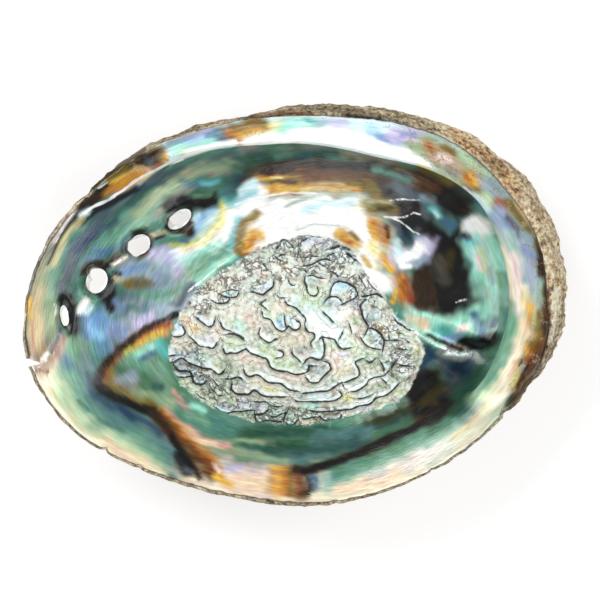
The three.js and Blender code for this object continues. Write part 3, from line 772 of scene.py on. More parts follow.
# the smooth skin with all its relief, and where its vertices are, for the paint
def sculptedSkin():
    angle, rings, shares = skinRings()
    before = np.concatenate([rings[:1], rings[:-1]])
    after = np.concatenate([rings[1:], rings[-1:]])
    left, right = np.roll(rings, 1, axis=1), np.roll(rings, -1, axis=1)
    normals = -unit(np.cross(after - before, right - left)).reshape(-1, 3)
    part, share = np.repeat(shares, skin["segments"], axis=0).T
    turn = np.tile(angle, len(rings))
    points = rings.reshape(-1, 3)
    shelf = shelfShareAt(turn)
    onShoulder = part == skinParts.index("shoulder")
    onRim = part == skinParts.index("rim")
    onBack = part < skinParts.index("rim")
    inHollow = part > skinParts.index("rim")
    fromEdge = outlineAt(turn) - crustWidthAt(turn) * shelf - np.hypot(points[:, 0], points[:, 1])
    backShare = np.where(part == 0, 0, np.where(part == skinParts.index("outside"), share, 1))

    hollowShare = np.where(inHollow, 1.0, mix(1.0, fade("shelfFace", share), fade("shelf", shelf)))
    hollowShare = np.where(onBack, 0, hollowShare)
    back = backRelief(points, part, share, backShare, shelf)
    relief = np.where(onBack, back, insideRelief(points, inHollow) * hollowShare)
    fromBand = fromEdge - lipBandAt(turn)
    relief -= np.where(onRim, edgeStep * fade("step", fromBand), 0)
    roughEdge = cloud(points, edgeRough["size"], 3, seed=30) * edgeRough["height"]
    relief += np.where(onRim, roughEdge * fade("roughEdge", fromBand), 0)
    moved = points + normals * relief[:, None]
    moved[:, 2] = np.maximum(moved[:, 2], 0)

    nearEdge = np.where(onShoulder, 1, fade("sideEdge", backShare))
    nearEdge = np.where(onRim, fade("rimEdge", fromEdge), nearEdge)
    wear = outlineWear(points, turn) * mix(1, thinLip["unevenOnShelf"], shelf) * nearEdge
    moved[:, :2] *= (1 + wear / np.hypot(moved[:, 0], moved[:, 1]))[:, None]

    crustEdge = np.where(onShoulder, shoulderBand, 0) - fromBand
    crustEdge = np.where(onBack & ~onShoulder, deepInCrust, crustEdge)
    return moved, {"crustEdge": np.where(inHollow, farFromCrust, crustEdge), "hollowShare": hollowShare}


# where the sphere's poles go: the middle of the back and the middle of the floor
def polePoints():
    middle = (wornSpot["x"], wornSpot["y"])
    return (*middle, 0), (*middle, shellForm["floorThickness"] + scar["rise"])


def vertexPlaces(piece):
    flat = np.zeros(3 * len(piece.data.vertices))
    piece.data.vertices.foreach_get("co", flat)
    return flat.reshape(-1, 3)


# a closed sphere of rings and segments, pushed into the form of the shell
def addShell():
    moved, facts = sculptedSkin()
    ringTotal = sum(skin[part] for part in skinParts)
    bpy.ops.object.select_all(action="DESELECT")
    bpy.ops.mesh.primitive_uv_sphere_add(segments=skin["segments"], ring_count=ringTotal + 1, radius=1)
    shell = bpy.context.object
    shell.name = "abaloneShell"
    ball = vertexPlaces(shell)
    ring = np.round(np.arccos(np.clip(-ball[:, 2], -1, 1)) / np.pi * (ringTotal + 1)).astype(int)
    segment = np.round(np.arctan2(ball[:, 1], ball[:, 0]) / (2 * np.pi) * skin["segments"]).astype(int)
    row = np.clip(ring - 1, 0, ringTotal - 1) * skin["segments"] + segment % skin["segments"]
    placed = moved[row]
    bottom, top = polePoints()
    placed[ring == 0] = bottom
    placed[ring == ringTotal + 1] = top
    shell.data.vertices.foreach_set("co", (placed * mm).ravel())
    shell.data.update()
    print("shell skin", len(shell.data.vertices), "vertices")
    return shell, placed, {name: values[row] for name, values in facts.items()}


shell, skinPoints, skinFacts = addShell()


# a post that cuts one hole, in mm: uneven sides round a waist, and a flare that ends at the funnel's height
post = {
    "sides": 36, "steps": 16, "halfHeight": 9, "waist": 2.1, "funnel": 3, "flare": 0.16, "power": 3,
    "uneven": 0.8, "unevenSize": 0.7,
}


# a circle 1 wide is extruded ring by ring, then widened and turned into place
def addPost(x, y, z, along, across, turn, flare):
    bpy.ops.object.select_all(action="DESELECT")
    bpy.ops.mesh.primitive_circle_add(
        vertices=post["sides"], radius=0.5, fill_type="NGON", location=(0, 0, -post["halfHeight"])
    )
    cutter = bpy.context.object
    bpy.ops.object.transform_apply(location=True, rotation=False, scale=False)
    bpy.ops.object.mode_set(mode="EDIT")
    bpy.ops.mesh.select_all(action="SELECT")
    rise = 2 * post["halfHeight"] / post["steps"]
    for i in range(post["steps"]):
        bpy.ops.mesh.extrude_region_move(TRANSFORM_OT_translate={"value": (0, 0, rise)})
    bpy.ops.mesh.select_all(action="SELECT")
    bpy.ops.mesh.normals_make_consistent(inside=False)
    bpy.ops.object.mode_set(mode="OBJECT")
    spots = vertexPlaces(cutter) * [1, 1, 0] + [x, y, 0]
    uneven = 1 + post["uneven"] * cloud(spots, post["unevenSize"], 2)
    for vertex, swell in zip(cutter.data.vertices, uneven):
        wide = swell + flare * (min(abs(vertex.co.z), post["funnel"]) / post["waist"]) ** post["power"]
        vertex.co = Vector((vertex.co.x * along * wide, vertex.co.y * across * wide, vertex.co.z)) * mm
    cutter.rotation_euler = (0, 0, turn)
    cutter.location = (x * mm, y * mm, z * mm)
    bpy.ops.object.transform_apply(location=True, rotation=True, scale=False)
    return cutter


notch = {"x": -74.2, "y": -16, "along": 5, "across": 2.4, "turn": -12, "inwards": 1.5}
nearestCount = 60


# height of the wall's middle, from the nearest vertices of its two sides
def middleOfWall(x, y):
    gap = np.hypot(skinPoints[:, 0] - x, skinPoints[:, 1] - y)
    return skinPoints[np.argsort(gap)[:nearestCount], 2].mean()


def cutHoles():
    cutters = []
    for hole in openHoles:
        x, y, _ = rowPoint(hole["turn"])
        spot = (x, y, middleOfWall(x, y))
        cutters.append(addPost(*spot, hole["along"], hole["across"], holeTurn(hole), post["flare"]))
    spot = (notch["x"], notch["y"], middleOfWall(notch["x"] + notch["inwards"], notch["y"]))
    cutters.append(addPost(*spot, notch["along"], notch["across"], np.radians(notch["turn"]), 0))
    bpy.ops.object.select_all(action="DESELECT")
    for cutter in cutters:
        cutter.select_set(True)
    bpy.context.view_layer.objects.active = cutters[0]
    bpy.ops.object.join()
    allPosts = bpy.context.object
    bpy.ops.object.select_all(action="DESELECT")
    shell.select_set(True)
    bpy.context.view_layer.objects.active = shell
    cut = shell.modifiers.new("holes", "BOOLEAN")
    cut.operation = "DIFFERENCE"
    cut.solver = "MANIFOLD"
    cut.object = allPosts
    bpy.ops.object.modifier_apply(modifier=cut.name)
    bpy.data.objects.remove(allPosts)
    print("holes cut,", len(shell.data.vertices), "vertices", len(shell.data.polygons), "faces")


cutHoles()

# tints of the pearl, stains and lips, and of painted highlight and shade, as colours of the screen
tints = {
    "white": (252, 252, 250), "cream": (234, 222, 198), "paleCream": (240, 234, 214),
    "peach": (232, 205, 175), "pink": (226, 205, 204), "rose": (214, 160, 148), "mauve": (176, 150, 140),
    "lavender": (196, 190, 226), "periwinkle": (124, 142, 188), "sky": (150, 200, 236),
    "cornflower": (106, 150, 200), "blue": (66, 108, 142), "deepBlue": (34, 62, 92),
    "inkBlue": (24, 38, 62), "ice": (214, 240, 246), "mint": (164, 226, 206), "cyan": (116, 200, 208),
    "aqua": (92, 176, 172), "teal": (84, 136, 122), "deepTeal": (46, 86, 84), "seaGreen": (112, 160, 136),
    "green": (78, 120, 92), "petrol": (84, 122, 124), "ink": (30, 34, 38), "darkGreen": (34, 76, 58),
    "sage": (150, 172, 138), "paleGreen": (196, 214, 176), "khaki": (198, 186, 142),
    "greyBlue": (150, 168, 184), "slate": (84, 96, 108), "grey": (140, 140, 134), "lemon": (238, 228, 150),
    "lime": (196, 196, 88), "bone": (205, 207, 195), "clay": (202, 192, 172), "pinkClay": (206, 186, 176),
    "blush": (238, 212, 202), "seaMist": (164, 190, 180), "sand": (206, 190, 160), "drab": (160, 146, 120),
    "gold": (220, 166, 58), "amber": (190, 122, 30), "rust": (150, 74, 24), "brown": (92, 54, 20),
    "olive": (122, 98, 30), "darkOlive": (56, 50, 18), "ash": (74, 74, 66), "black": (18, 17, 18),
    "umber": (50, 34, 22), "plum": (70, 40, 44), "tan": (190, 156, 112),
}

# strokes of colour, and of painted highlight and shade, in the hollow and on the lip: tint, half width in mm,
# places in mm;
# later strokes lie over earlier ones
# dark stain of the closed hole, and round the open ones; on the creases between the holes the pale streaks
# are painted highlight and the dark strokes above the first crease are painted shade; the white and ice spot
# by the slit is painted highlight
# gold crescent left of it, and the pale diagonal beside it, whose white stroke is a painted highlight
# left lip, with a small painted highlight by the notch
# line and arcs over the painted highlight in the middle
# pale end wall under the shelf; the thin teal line along the shelf's edge is painted shade, and the white
# patch is a painted highlight
# wall of the row of holes, from the shelf down, then two white strokes in the middle of the hollow, a painted
# highlight
hollowStrokes = readRows("""
# lower lip, from the notch round to the coil
cream 9 -70,-20 -58,-36 -35,-48 -5,-52 25,-48 48,-35 60,-22
paleCream 3 -66,-27 -58,-35 -48,-41 -38,-45
khaki 0.8 -67,-24 -60,-32.6 -50,-38.6 -42,-42
peach 2 -52,-39 -44,-43 -38,-44.5
paleGreen 2 -66,-20.5 -62,-27.5 -56,-33 -49,-36.5 -42,-40 -38,-43.5
seaGreen 2.3 -63,-17 -61,-25 -55,-31 -48,-34.5 -41,-38.5 -37,-42.5
teal 2 -60,-13 -60,-22 -54,-29 -46,-32.6 -39.5,-36.6 -36,-41
green 0.5 -60,-26.5 -54,-31.8 -47,-35.4
pink 5 -19,-40 -14,-44 -7,-47
peach 2.5 -18,-50 -10,-50 -4,-49
lavender 1.3 -18,-45.5 -15.5,-45
paleGreen 2.2 33,-41 40,-37.5 46,-33 52,-28
khaki 1.6 46,-36 52,-31 57,-24
peach 2.2 12,-50 24,-47 33,-44
bone 2.8 30,-44.4 40,-39.4 48,-33.6 55,-27
pink 2 20,-46 30,-42.6 37,-39
sage 1.8 36,-37.4 43,-33.4 50,-27
khaki 1.2 44,-36.4 50,-31.6 55,-26
seaMist 1.5 10,-49 18,-46.8 28,-42.8 37,-38 45,-31.8 51,-25.8
seaGreen 2.2 10,-47.4 18,-45 28,-40.8 37,-36.2 45,-29.8 51,-23.8
teal 2.3 10,-46 18,-43.4 28,-38.8 36,-34.4 44,-28 51,-20.6 56,-12
# teal and green between the scar and the lip
green 5.5 -20,-38 -5,-40 10,-40 25,-35 36,-30
deepTeal 2.6 -12,-38.6 4,-40 18,-37.4 30,-33
green 1.4 -16,-37.4 -4,-37.6 6,-38.6
darkGreen 1.7 -15,-35 -8,-35 2,-35.4 10,-35.2
sage 0.6 -24,-38 -14,-37.6 -6,-38.6
darkGreen 1.1 -8,-39 2,-39.6
petrol 2 6,-37.6 14,-36.6 22,-34.8
petrol 1.3 9,-36.6 15,-35.6 21,-34.8
deepTeal 1.5 0,-41 8,-40 17,-38
petrol 1.2 -8,-42.4 0,-43.2 8,-42
sage 1 -24,-39.4 -12,-41.4 -3,-43.6
deepTeal 2.4 24,-33.5 33,-31 40,-28
green 1 22,-36.2 30,-33.2 37,-30
brown 0.6 33,-31.8 37,-30.6
# dark corner at the lower right of the scar and the blue wall beside it
slate 6 39,-18 46,-18 48,-23
deepBlue 5 38,-17 46,-17 50,-20 45,-25
deepTeal 2.8 40,-15.6 47,-19 48,-25
slate 2 40,-17 44,-20
petrol 1.8 38,-18.4 41,-20
inkBlue 3.2 45,-17.4 49,-21 44,-26
darkGreen 3 57,-6 55,-13 50,-21 44,-28 38,-31.5
green 1.4 59,-4 57.5,-12 53,-21 48,-27
darkOlive 4.4 34,-27 38,-26.6 39,-23
black 3.2 33,-24 37,-21.4
black 2.4 33.6,-29.4 38,-29.6 41,-27
darkOlive 1.2 35,-26.8 38,-26.6
darkOlive 1.4 20,-32 26,-31.2 31,-29.4
# left end of the lower lip, notch and groove
seaGreen 3.4 -62,-9 -62,-16
blue 1.3 -64,-14.6 -62,-17
green 2 -60,-10 -58.5,-15
petrol 1.8 -58,-14 -58,-18
mauve 1.5 -70,-17.2 -67,-15.2 -64.5,-9.5
clay 0.9 -69.4,-17.4 -66.8,-16
grey 1.1 -68.4,-11 -66,-7.4
brown 0.4 -71.5,-18.3 -68.4,-18.2
cream 1.2 -71,-19.5 -67.5,-22
# left lip
drab 3.4 -71,-12 -71,-2 -70,6 -67,14 -62,21
khaki 1.2 -71.4,-12 -71,-2 -69.8,6 -66.6,14 -62.6,20
tan 0.7 -72.8,-13.5 -72.8,-6
sage 1.7 -67.2,-8 -67.5,2 -65.5,11 -60.5,19.5
slate 0.5 -67.8,-13 -66,-9.4 -64.8,-6.6
white 0.5 -70,-15 -68.8,-13.4
gold 0.8 -73.6,1.5 -73.4,-1 -72.8,-3.4
umber 0.45 -74.8,-1.5 -74.6,-9 -73.4,-14.4
# wall of the row of holes, from the shelf down
teal 9 -60,10 -52,20 -38,28 -22,35 -8,38
deepTeal 2.2 -63,4 -61,13 -54,23 -44,31 -32,36.5 -18,40
slate 1.4 -64.5,5 -60.5,16 -52,26 -41,33.5 -30,38 -18,40.8
deepBlue 1.2 -60.5,15 -55,20 -50,22.5
blue 1.6 -57,12 -51,18 -46,22
deepBlue 1.1 -47,31 -42,33
seaGreen 2.8 -51,17 -44,23 -37,27 -32,31
sage 1.4 -45,25 -39,30 -33,33
seaGreen 2.2 -56,8 -52,14 -46,19
blue 1.4 -54,13.5 -49,16 -45.5,18
mauve 1.2 -31,36 -25,37.2 -19,37
sage 1.5 -34,34 -26,38 -16,38.6
blue 1.3 -31,33.5 -25,33 -19,31.8
cyan 0.7 -26,33.4 -22,33.8
green 1.2 -29,31.3 -22,31.8 -17,33.5
deepTeal 3 -18,34 -12,37 -4,39
inkBlue 1.8 -15,34 -11,37
grey 1.6 -38,25 -34,29 -30,32
white 5.2 -9,25 -2,27 6,27.6 14,27
white 6 -9,20 -2,23 8,24 16,22
# top wall under the shelf
darkGreen 4 -12,40.5 0,41.6 12,41 22,38.6
green 1 -12,42.6 0,43.4 12,43 20,41.6
grey 0.6 -16,43.2 0,44.6 10,44.4 20,42.8 28,40
deepTeal 0.8 -12,41.8 0,42.4 12,42
teal 0.5 -6,41.2 4,41.4 14,40.8
deepBlue 0.6 -4,40.6 3,40.6
mauve 0.9 14,41.6 20,40.8 27,39.2
seaGreen 0.6 8,39.8 18,39.4 24,37.8
deepTeal 1 -10,39.6 4,39.8 12,39.4
# band of brown and gold under the top wall
brown 3.4 -9.6,34.8 0,35.4 12,35.2 24,33.6
olive 2.6 -10.4,33 0,33.6 12,33.4 25,32
umber 1.9 -9,37.8 0,38.2 12,38.2 22,37
umber 0.8 -5,39.2 2,39.5 12,39.4 20,38.4
olive 1.6 -11,33 -2,33.4 8,33.2 18,32.8 26,31.6
brown 1.5 1,37.1 12,37 18,36.3 25,35.2
brown 0.8 12,35.4 17,34.6 22,34.4
gold 1.1 -11,32.4 -2,33 8,32.8 17,32
gold 0.8 -10.4,35 -5,35.4 0,34.9
olive 1.2 -4,34.6 4,34.8 14,34.2 22,33.6
lemon 0.3 -7,35.4 -4,35.4
darkOlive 0.6 -10.4,33.6 -5,34.4 0,34
brown 0.7 2,35.4 10,35.6 18,34.8
khaki 0.7 2,31.8 8,32.2 15,31.6
gold 0.9 -12,31.2 -8,31.8 -3,31.6
tan 0.5 4,33.6 9,33.9 13,33.5
darkOlive 1.5 23,35 26.6,33.6 28,31
black 0.7 6,38.7 14,38.7 22,37.6 27,36
# dark end of the hollow, first its black ground
umber 3.4 27,33 30,25
slate 2.4 28,22 27.4,27
black 4.2 31,32 37,31.6 44,28
black 4 33,25 40,22 44,17
black 2.2 45,29 47,27
black 6.5 41.4,18 41,11 42,4 44.6,1.6
black 3.2 44,14 45.8,8 48.4,3 50.6,0.4
black 1.6 44.6,19 46,13
umber 2.8 35.8,8 36,1
umber 2 27,37.2 33,36.4 39,34 44,31 47.4,27.6
olive 0.7 28,38.6 34,37.4 39,35.6 43,33.4
black 1.3 38,33.6 43,31 46.4,28
brown 1.6 32.6,34 36.6,33.2 38.6,32.2
slate 1.8 28.6,33.4 30,31 33.4,30.6
deepTeal 1 22,37.6 27,36.2 31.4,34.6
teal 0.6 22,37.4 28,35.9 31.4,34.6
greyBlue 1.4 35.8,29.8 37.6,28.4
petrol 1.9 37.6,27.4 39.8,25 42.8,22.4
slate 1.1 35.4,27.4 36.4,24.4
cyan 0.9 38,26.6 40,24.8
ice 0.5 38.6,25.8 39.8,24.8
blue 0.9 41.6,23.6 43.8,22
ash 2 40,11.6 41,7.4
darkOlive 1.2 43,14 43.4,10
umber 1.6 37.4,4 38,-2
ink 2.2 29,22.6 34,22.6
black 1.5 28.8,27.2 33.6,27.2
# pale end wall under the shelf
seaMist 4.6 52,18 54,11 56,4 57,-3
mint 2.8 48.8,17.4 50.6,12 52.8,7 55,1
cyan 1 48,17.4 50.4,16.8
paleGreen 1.3 51.6,14.6 53.6,9
ice 1 49.6,14.6 50.6,10.6
blush 0.7 50.4,13.4 51.8,10.4
mint 1.8 54.6,18 56.6,11 57.4,4
seaGreen 0.8 56.8,9 57.8,3 57.8,-3
greyBlue 0.9 54.4,10 54.8,6
seaMist 0.9 52.4,4 55.4,-1
teal 0.4 56,19 58,10.6 58.8,1
white 2.4 48.6,21.6 50.6,23 52.4,21.2
inkBlue 0.8 46.6,19.4 48.4,18.5
# amber and white right of the scar
cream 4.6 20,12 22.4,17 19.6,23
white 2.8 18.8,12 21,15 17.4,23.6
khaki 0.8 18.4,28 22,28.8 26,28.8
olive 1.7 21,26.6 24,27 26.6,26.2
darkOlive 0.7 23.6,26.4 26.6,26.6
amber 1.8 22.4,22.6 24.2,19.8 25,17.6
gold 1.1 20.4,23.4 22.4,18.8
brown 0.6 25.6,21.6 26,18.6
tan 1.8 12.6,19.8 15,18.4
gold 1.3 12,19.8 14.4,18.6 16.6,17
amber 0.7 13,18.4 15.4,17.2
olive 0.5 15.6,20 17.2,18.2
khaki 0.9 18.6,13.4 20.6,10.8
gold 0.5 19,12.8 20.4,11
lemon 1.4 20.8,16.8 22.8,14.4
white 2.5 20,7.2 25.6,5.8
gold 1.1 24.8,13.2 26.6,10
peach 0.9 26.8,15.4 27,11.6
lavender 3.3 30.6,13 33,13.6 35.4,16.4
white 1.7 29.6,12.6 32.4,13.6 35.2,17.2
ice 1.1 28.8,17.4 28.8,14.4
greyBlue 0.9 33.6,11.2 35.6,13
lavender 0.9 34.6,19 36.6,17
greyBlue 0.6 31.4,15.4 32.4,17.4
white 0.7 29.4,10.8 32,10.4
inkBlue 1.4 30.2,19.8 31.6,17.6
slate 0.8 28.2,21.8 29,20
amber 1.9 28.4,7.6 29.8,4.4 31,1
rust 1.7 30.8,6 32.6,1 31.8,-1.4
gold 0.8 28,3.6 27.2,1
umber 1.7 34.2,8.4 35,3.4 34.2,-0.8
# line and arcs over the white middle
seaMist 0.5 -3,27.6 3,29.8 8,30.8 17,30.4
ice 0.9 2,26.4 8,28 16,28.4
greyBlue 0.2 0,20.6 5,22.4 12,22.2
# gold crescent left of it, and the pale diagonal beside it
white 3.6 -38,9 -31,13 -24,17.5 -18,24 -11,30
ice 2.2 -36,12 -30,11.5 -26,13
cyan 1.6 -19,14 -17,18.5 -16,23
cyan 1.5 -20,27.5 -15,29.8 -12,31
ice 1.2 -15,31.8 -11.5,33.8
gold 2.1 -14.4,16.8 -13.2,18.6 -10.6,19.3
amber 1 -14.6,16.6 -12.4,18.4
khaki 1.3 -15,20.4 -13,23.4 -10.6,25
olive 1.1 -16.2,15 -16.2,19 -14.4,23 -10.8,25.4
rust 0.5 -15.5,14 -12.5,14.6 -10.6,15.6
lime 0.7 -35,16.3 -30,17.2 -25,19.8 -21.8,24 -20.6,28.5
lemon 0.9 -31,15.6 -25,18.2 -21,22.4 -19.6,27
ice 2.4 -27.4,22.4 -24.8,25
sky 1 -29,19.4 -26,24.6 -22.8,26.4
mint 1.5 -35,9.5 -27,13.5 -22,17.2
seaGreen 2.4 -33,5.5 -26,10.5 -20,14.5
mint 0.9 -32,1.5 -27,6.5 -22,11 -17.5,14
sage 2.2 -37,3 -31,7.5
lavender 2.3 -39,14.6 -36,13 -33.5,10.4
greyBlue 3.4 -46,9 -40,9.6 -35,6
cornflower 1 -47.5,9.4 -42,10.6
# floor left of the scar
slate 4.6 -47,-1 -41,0 -35,2
greyBlue 5.5 -47,-5 -40,-1 -34,1.5
seaGreen 1.6 -43,3.4 -37,1.8 -32,4.5
petrol 1.5 -50,-3.8 -46,-1.2 -43,-0.8
lavender 1.6 -47,-10.5 -44,-6.5 -40,-3.6
cornflower 3 -57,-4 -52,-7 -52,-12
sky 1.4 -57,-6 -54,-9
blue 1.6 -60,-3 -58,-8
periwinkle 2.4 -50,-9 -50,-13
periwinkle 1.3 -51,1.6 -48.5,-1.8
slate 1.3 -33.5,0.5 -30.5,3.8 -28.6,5
khaki 0.9 -50,7.2 -48,6.6
olive 1.2 -47,5.8 -43.5,6 -40,6.2
# region between the dark bend and the scar
green 7 -47,-18 -39,-15 -37,-24
seaGreen 2.4 -46,-14 -38,-18 -36,-26
mint 1.5 -44,-12.6 -39,-11.6
blue 0.8 -43,-14.6 -38,-12.8
aqua 1.4 -38.5,-9.6 -36.6,-14
green 1.8 -42.5,-20.5 -38.5,-23.2
deepTeal 1 -39.8,-22.4 -37.4,-22.8
grey 2 -50,-20.5 -46,-23
greyBlue 1.3 -47.6,-20 -44.6,-19.6
sage 1.8 -46,-25.4 -39,-26.4 -34,-28
# the dark bend: gold side, brown and black core, and its blue outer side
petrol 2.8 -57,-17 -57.6,-23 -52.4,-28.8 -44,-32.4 -38,-36 -34.6,-41 -33.6,-46
petrol 1.5 -56.4,-17 -57,-23.4 -51.8,-28.2 -43.6,-31.6 -38,-35.4 -34.4,-40
deepBlue 1.2 -56.6,-20 -56.4,-23.6 -51.6,-27.8 -43.4,-31.2 -38,-35.2
lime 1.2 -38.5,-8.2 -43,-10 -47,-13
gold 1.4 -36,-6.4 -41,-8 -45.5,-10.6
rust 0.9 -35.6,-5.2 -40,-6.4 -44.8,-9
olive 1.5 -51.6,-19 -51.4,-23 -46,-26.2 -40,-28
rust 1.1 -49,-14.6 -53,-18 -53.2,-21.6
umber 0.9 -32.8,-3 -37,-4.2 -42,-6.6 -46,-10
umber 1.2 -46,-10 -50.4,-14.2 -54,-18 -54.8,-22 -51,-25.4 -45,-27.6 -39.6,-29.6 -36.4,-33.4 -33.6,-37
black 0.9 -32.6,-2.6 -34.6,-3.2
black 1 -54.8,-21.6 -53.6,-24.4 -50,-26.2 -44,-28.4 -39.4,-30.4 -36.8,-33.4
# its lower arm: gold and rust on the inner side, black where it meets the lip
rose 1.2 -36,-29.6 -31,-34.4 -26,-38 -19,-39
peach 1 -33.4,-33 -27,-37.6 -22,-39
amber 1.4 -37,-30.4 -32.4,-34.6 -27.6,-39 -23.4,-43.2 -20.4,-47.6
rust 1.5 -37.4,-31.4 -33.4,-35.4 -28.6,-39.8 -24.6,-43.8 -22,-47.6
brown 1.8 -37.4,-32.2 -33,-37 -28.4,-41.4 -25,-45 -23.2,-48
umber 1.1 -39.8,-29.8 -36.4,-33.8 -33.2,-38 -30.2,-42 -28,-45 -26.6,-47.6
ink 1.9 -32.4,-41.6 -30.6,-44.4 -30,-46
black 0.9 -34.4,-36.6 -31.8,-41 -29,-44.4
slate 0.8 -30.4,-45.6 -28.8,-46.4
blush 0.5 -22.4,-44.4 -21,-46.4
gold 1 -21.6,-48 -18.6,-49.6
# left of and below the scar
teal 2.6 -30,-29 -24,-33.6 -18,-34.4
mint 1 -29.4,-28 -25.6,-29.8
seaGreen 1.4 -30,-31 -25,-32
rose 0.5 -34.2,-24 -31.6,-26.8
mauve 0.7 -33,-26 -30,-28.6
# gold bar across the lower lip, with its blue edge
tan 1.6 -6.6,-46.8 -6.6,-51.4
gold 2 -4.8,-46.6 -4.6,-49 -4.8,-51.6
amber 1.4 -3,-46.4 -2.8,-51.4
olive 1.3 -1.4,-46 -1.2,-52
rust 1.2 0.4,-46 0.6,-52
brown 1.6 2,-45.6 2.2,-49 2,-52.4
umber 0.8 3.4,-46 3.7,-49 3.4,-52
slate 0.8 4,-47 4.2,-51
blue 0.9 5.4,-47.2 5.8,-51
seaMist 1.6 8,-47.6 8.8,-50.6
# black line along the lower side
umber 1.3 0,-45.6 6,-45.4 15,-42 24,-38.4 33,-34 40,-30
black 0.9 2,-45.8 10,-44 18,-40.8 26,-37.4 34,-33.6 41,-29.4
# pale band over the fold and the black under it
mint 2.8 33,-4 39,-5.4 46,-6.6 53,-2
aqua 1.3 38,-7 44,-8
peach 1.2 34.6,-5 36.4,-5.4
blush 1 45.6,-7 47.4,-6.6
cream 1.1 31.6,-4.2 33,-4.4
deepBlue 1.6 52.6,-5 55,-4.4
blue 1.2 50,-3.6 51.6,-7.6
periwinkle 1.1 42,-9.6 46,-9
black 1.9 46.6,-11 51,-10.6 56,-9.2
umber 0.9 37,-8.8 42,-11.4 47,-12.4
mint 0.6 31.6,-6.6 36,-9.4 41,-12
grey 1.2 40.6,-13.6 45,-14.4 49,-14
ice 0.4 42,-13.6 45.4,-13.9 48.4,-13.6
deepBlue 1.1 36.6,-12.4 38,-15
teal 1.6 58.4,-2 58.2,-9 55,-17
# dark stain of the closed hole, and round the open ones
darkGreen 2 -35,27.6 -30,29.6 -24,30
black 1.8 -35.4,27.8 -31.6,28.8 -28,28.2
black 2.3 -26.4,28.2 -23.4,28.6
green 0.7 -28,30 -24,30.8
umber 1.3 -29.8,22.4 -29.4,20
umber 0.7 -33.6,20.6 -31,20.4
blue 0.7 -31.6,18.4 -30.6,18
brown 0.7 -41,14.6 -43.6,13.6
umber 0.8 -40.4,19.4 -40.6,16.4
umber 0.7 -45.4,20 -42,20.6
darkOlive 1.4 -53.4,10 -49.6,13.4 -46.6,15.4
black 0.7 -52.6,10.4 -49,13
blush 0.5 -50.6,10.9 -48.6,12 -46.9,13.2
black 0.5 -50.6,8.8 -48.6,8.6
khaki 0.6 -41,18.6 -38,19.8 -36,20.6
umber 0.4 -40,18 -36.6,19.2
umber 1.1 -58.8,8.6 -57.6,11 -54,11.4
black 1.4 -51.2,6.6 -51.4,3.4 -53.4,1.8
black 1.4 -52.4,0.8 -51.4,-1.2
black 2 -62.8,1.6 -62.4,-3 -61.2,-7
black 1 -65,0.6 -64,2.4
white 1.1 -59.6,-1.4 -58,0.8
ice 0.9 -58,-2 -56.6,-1
""")
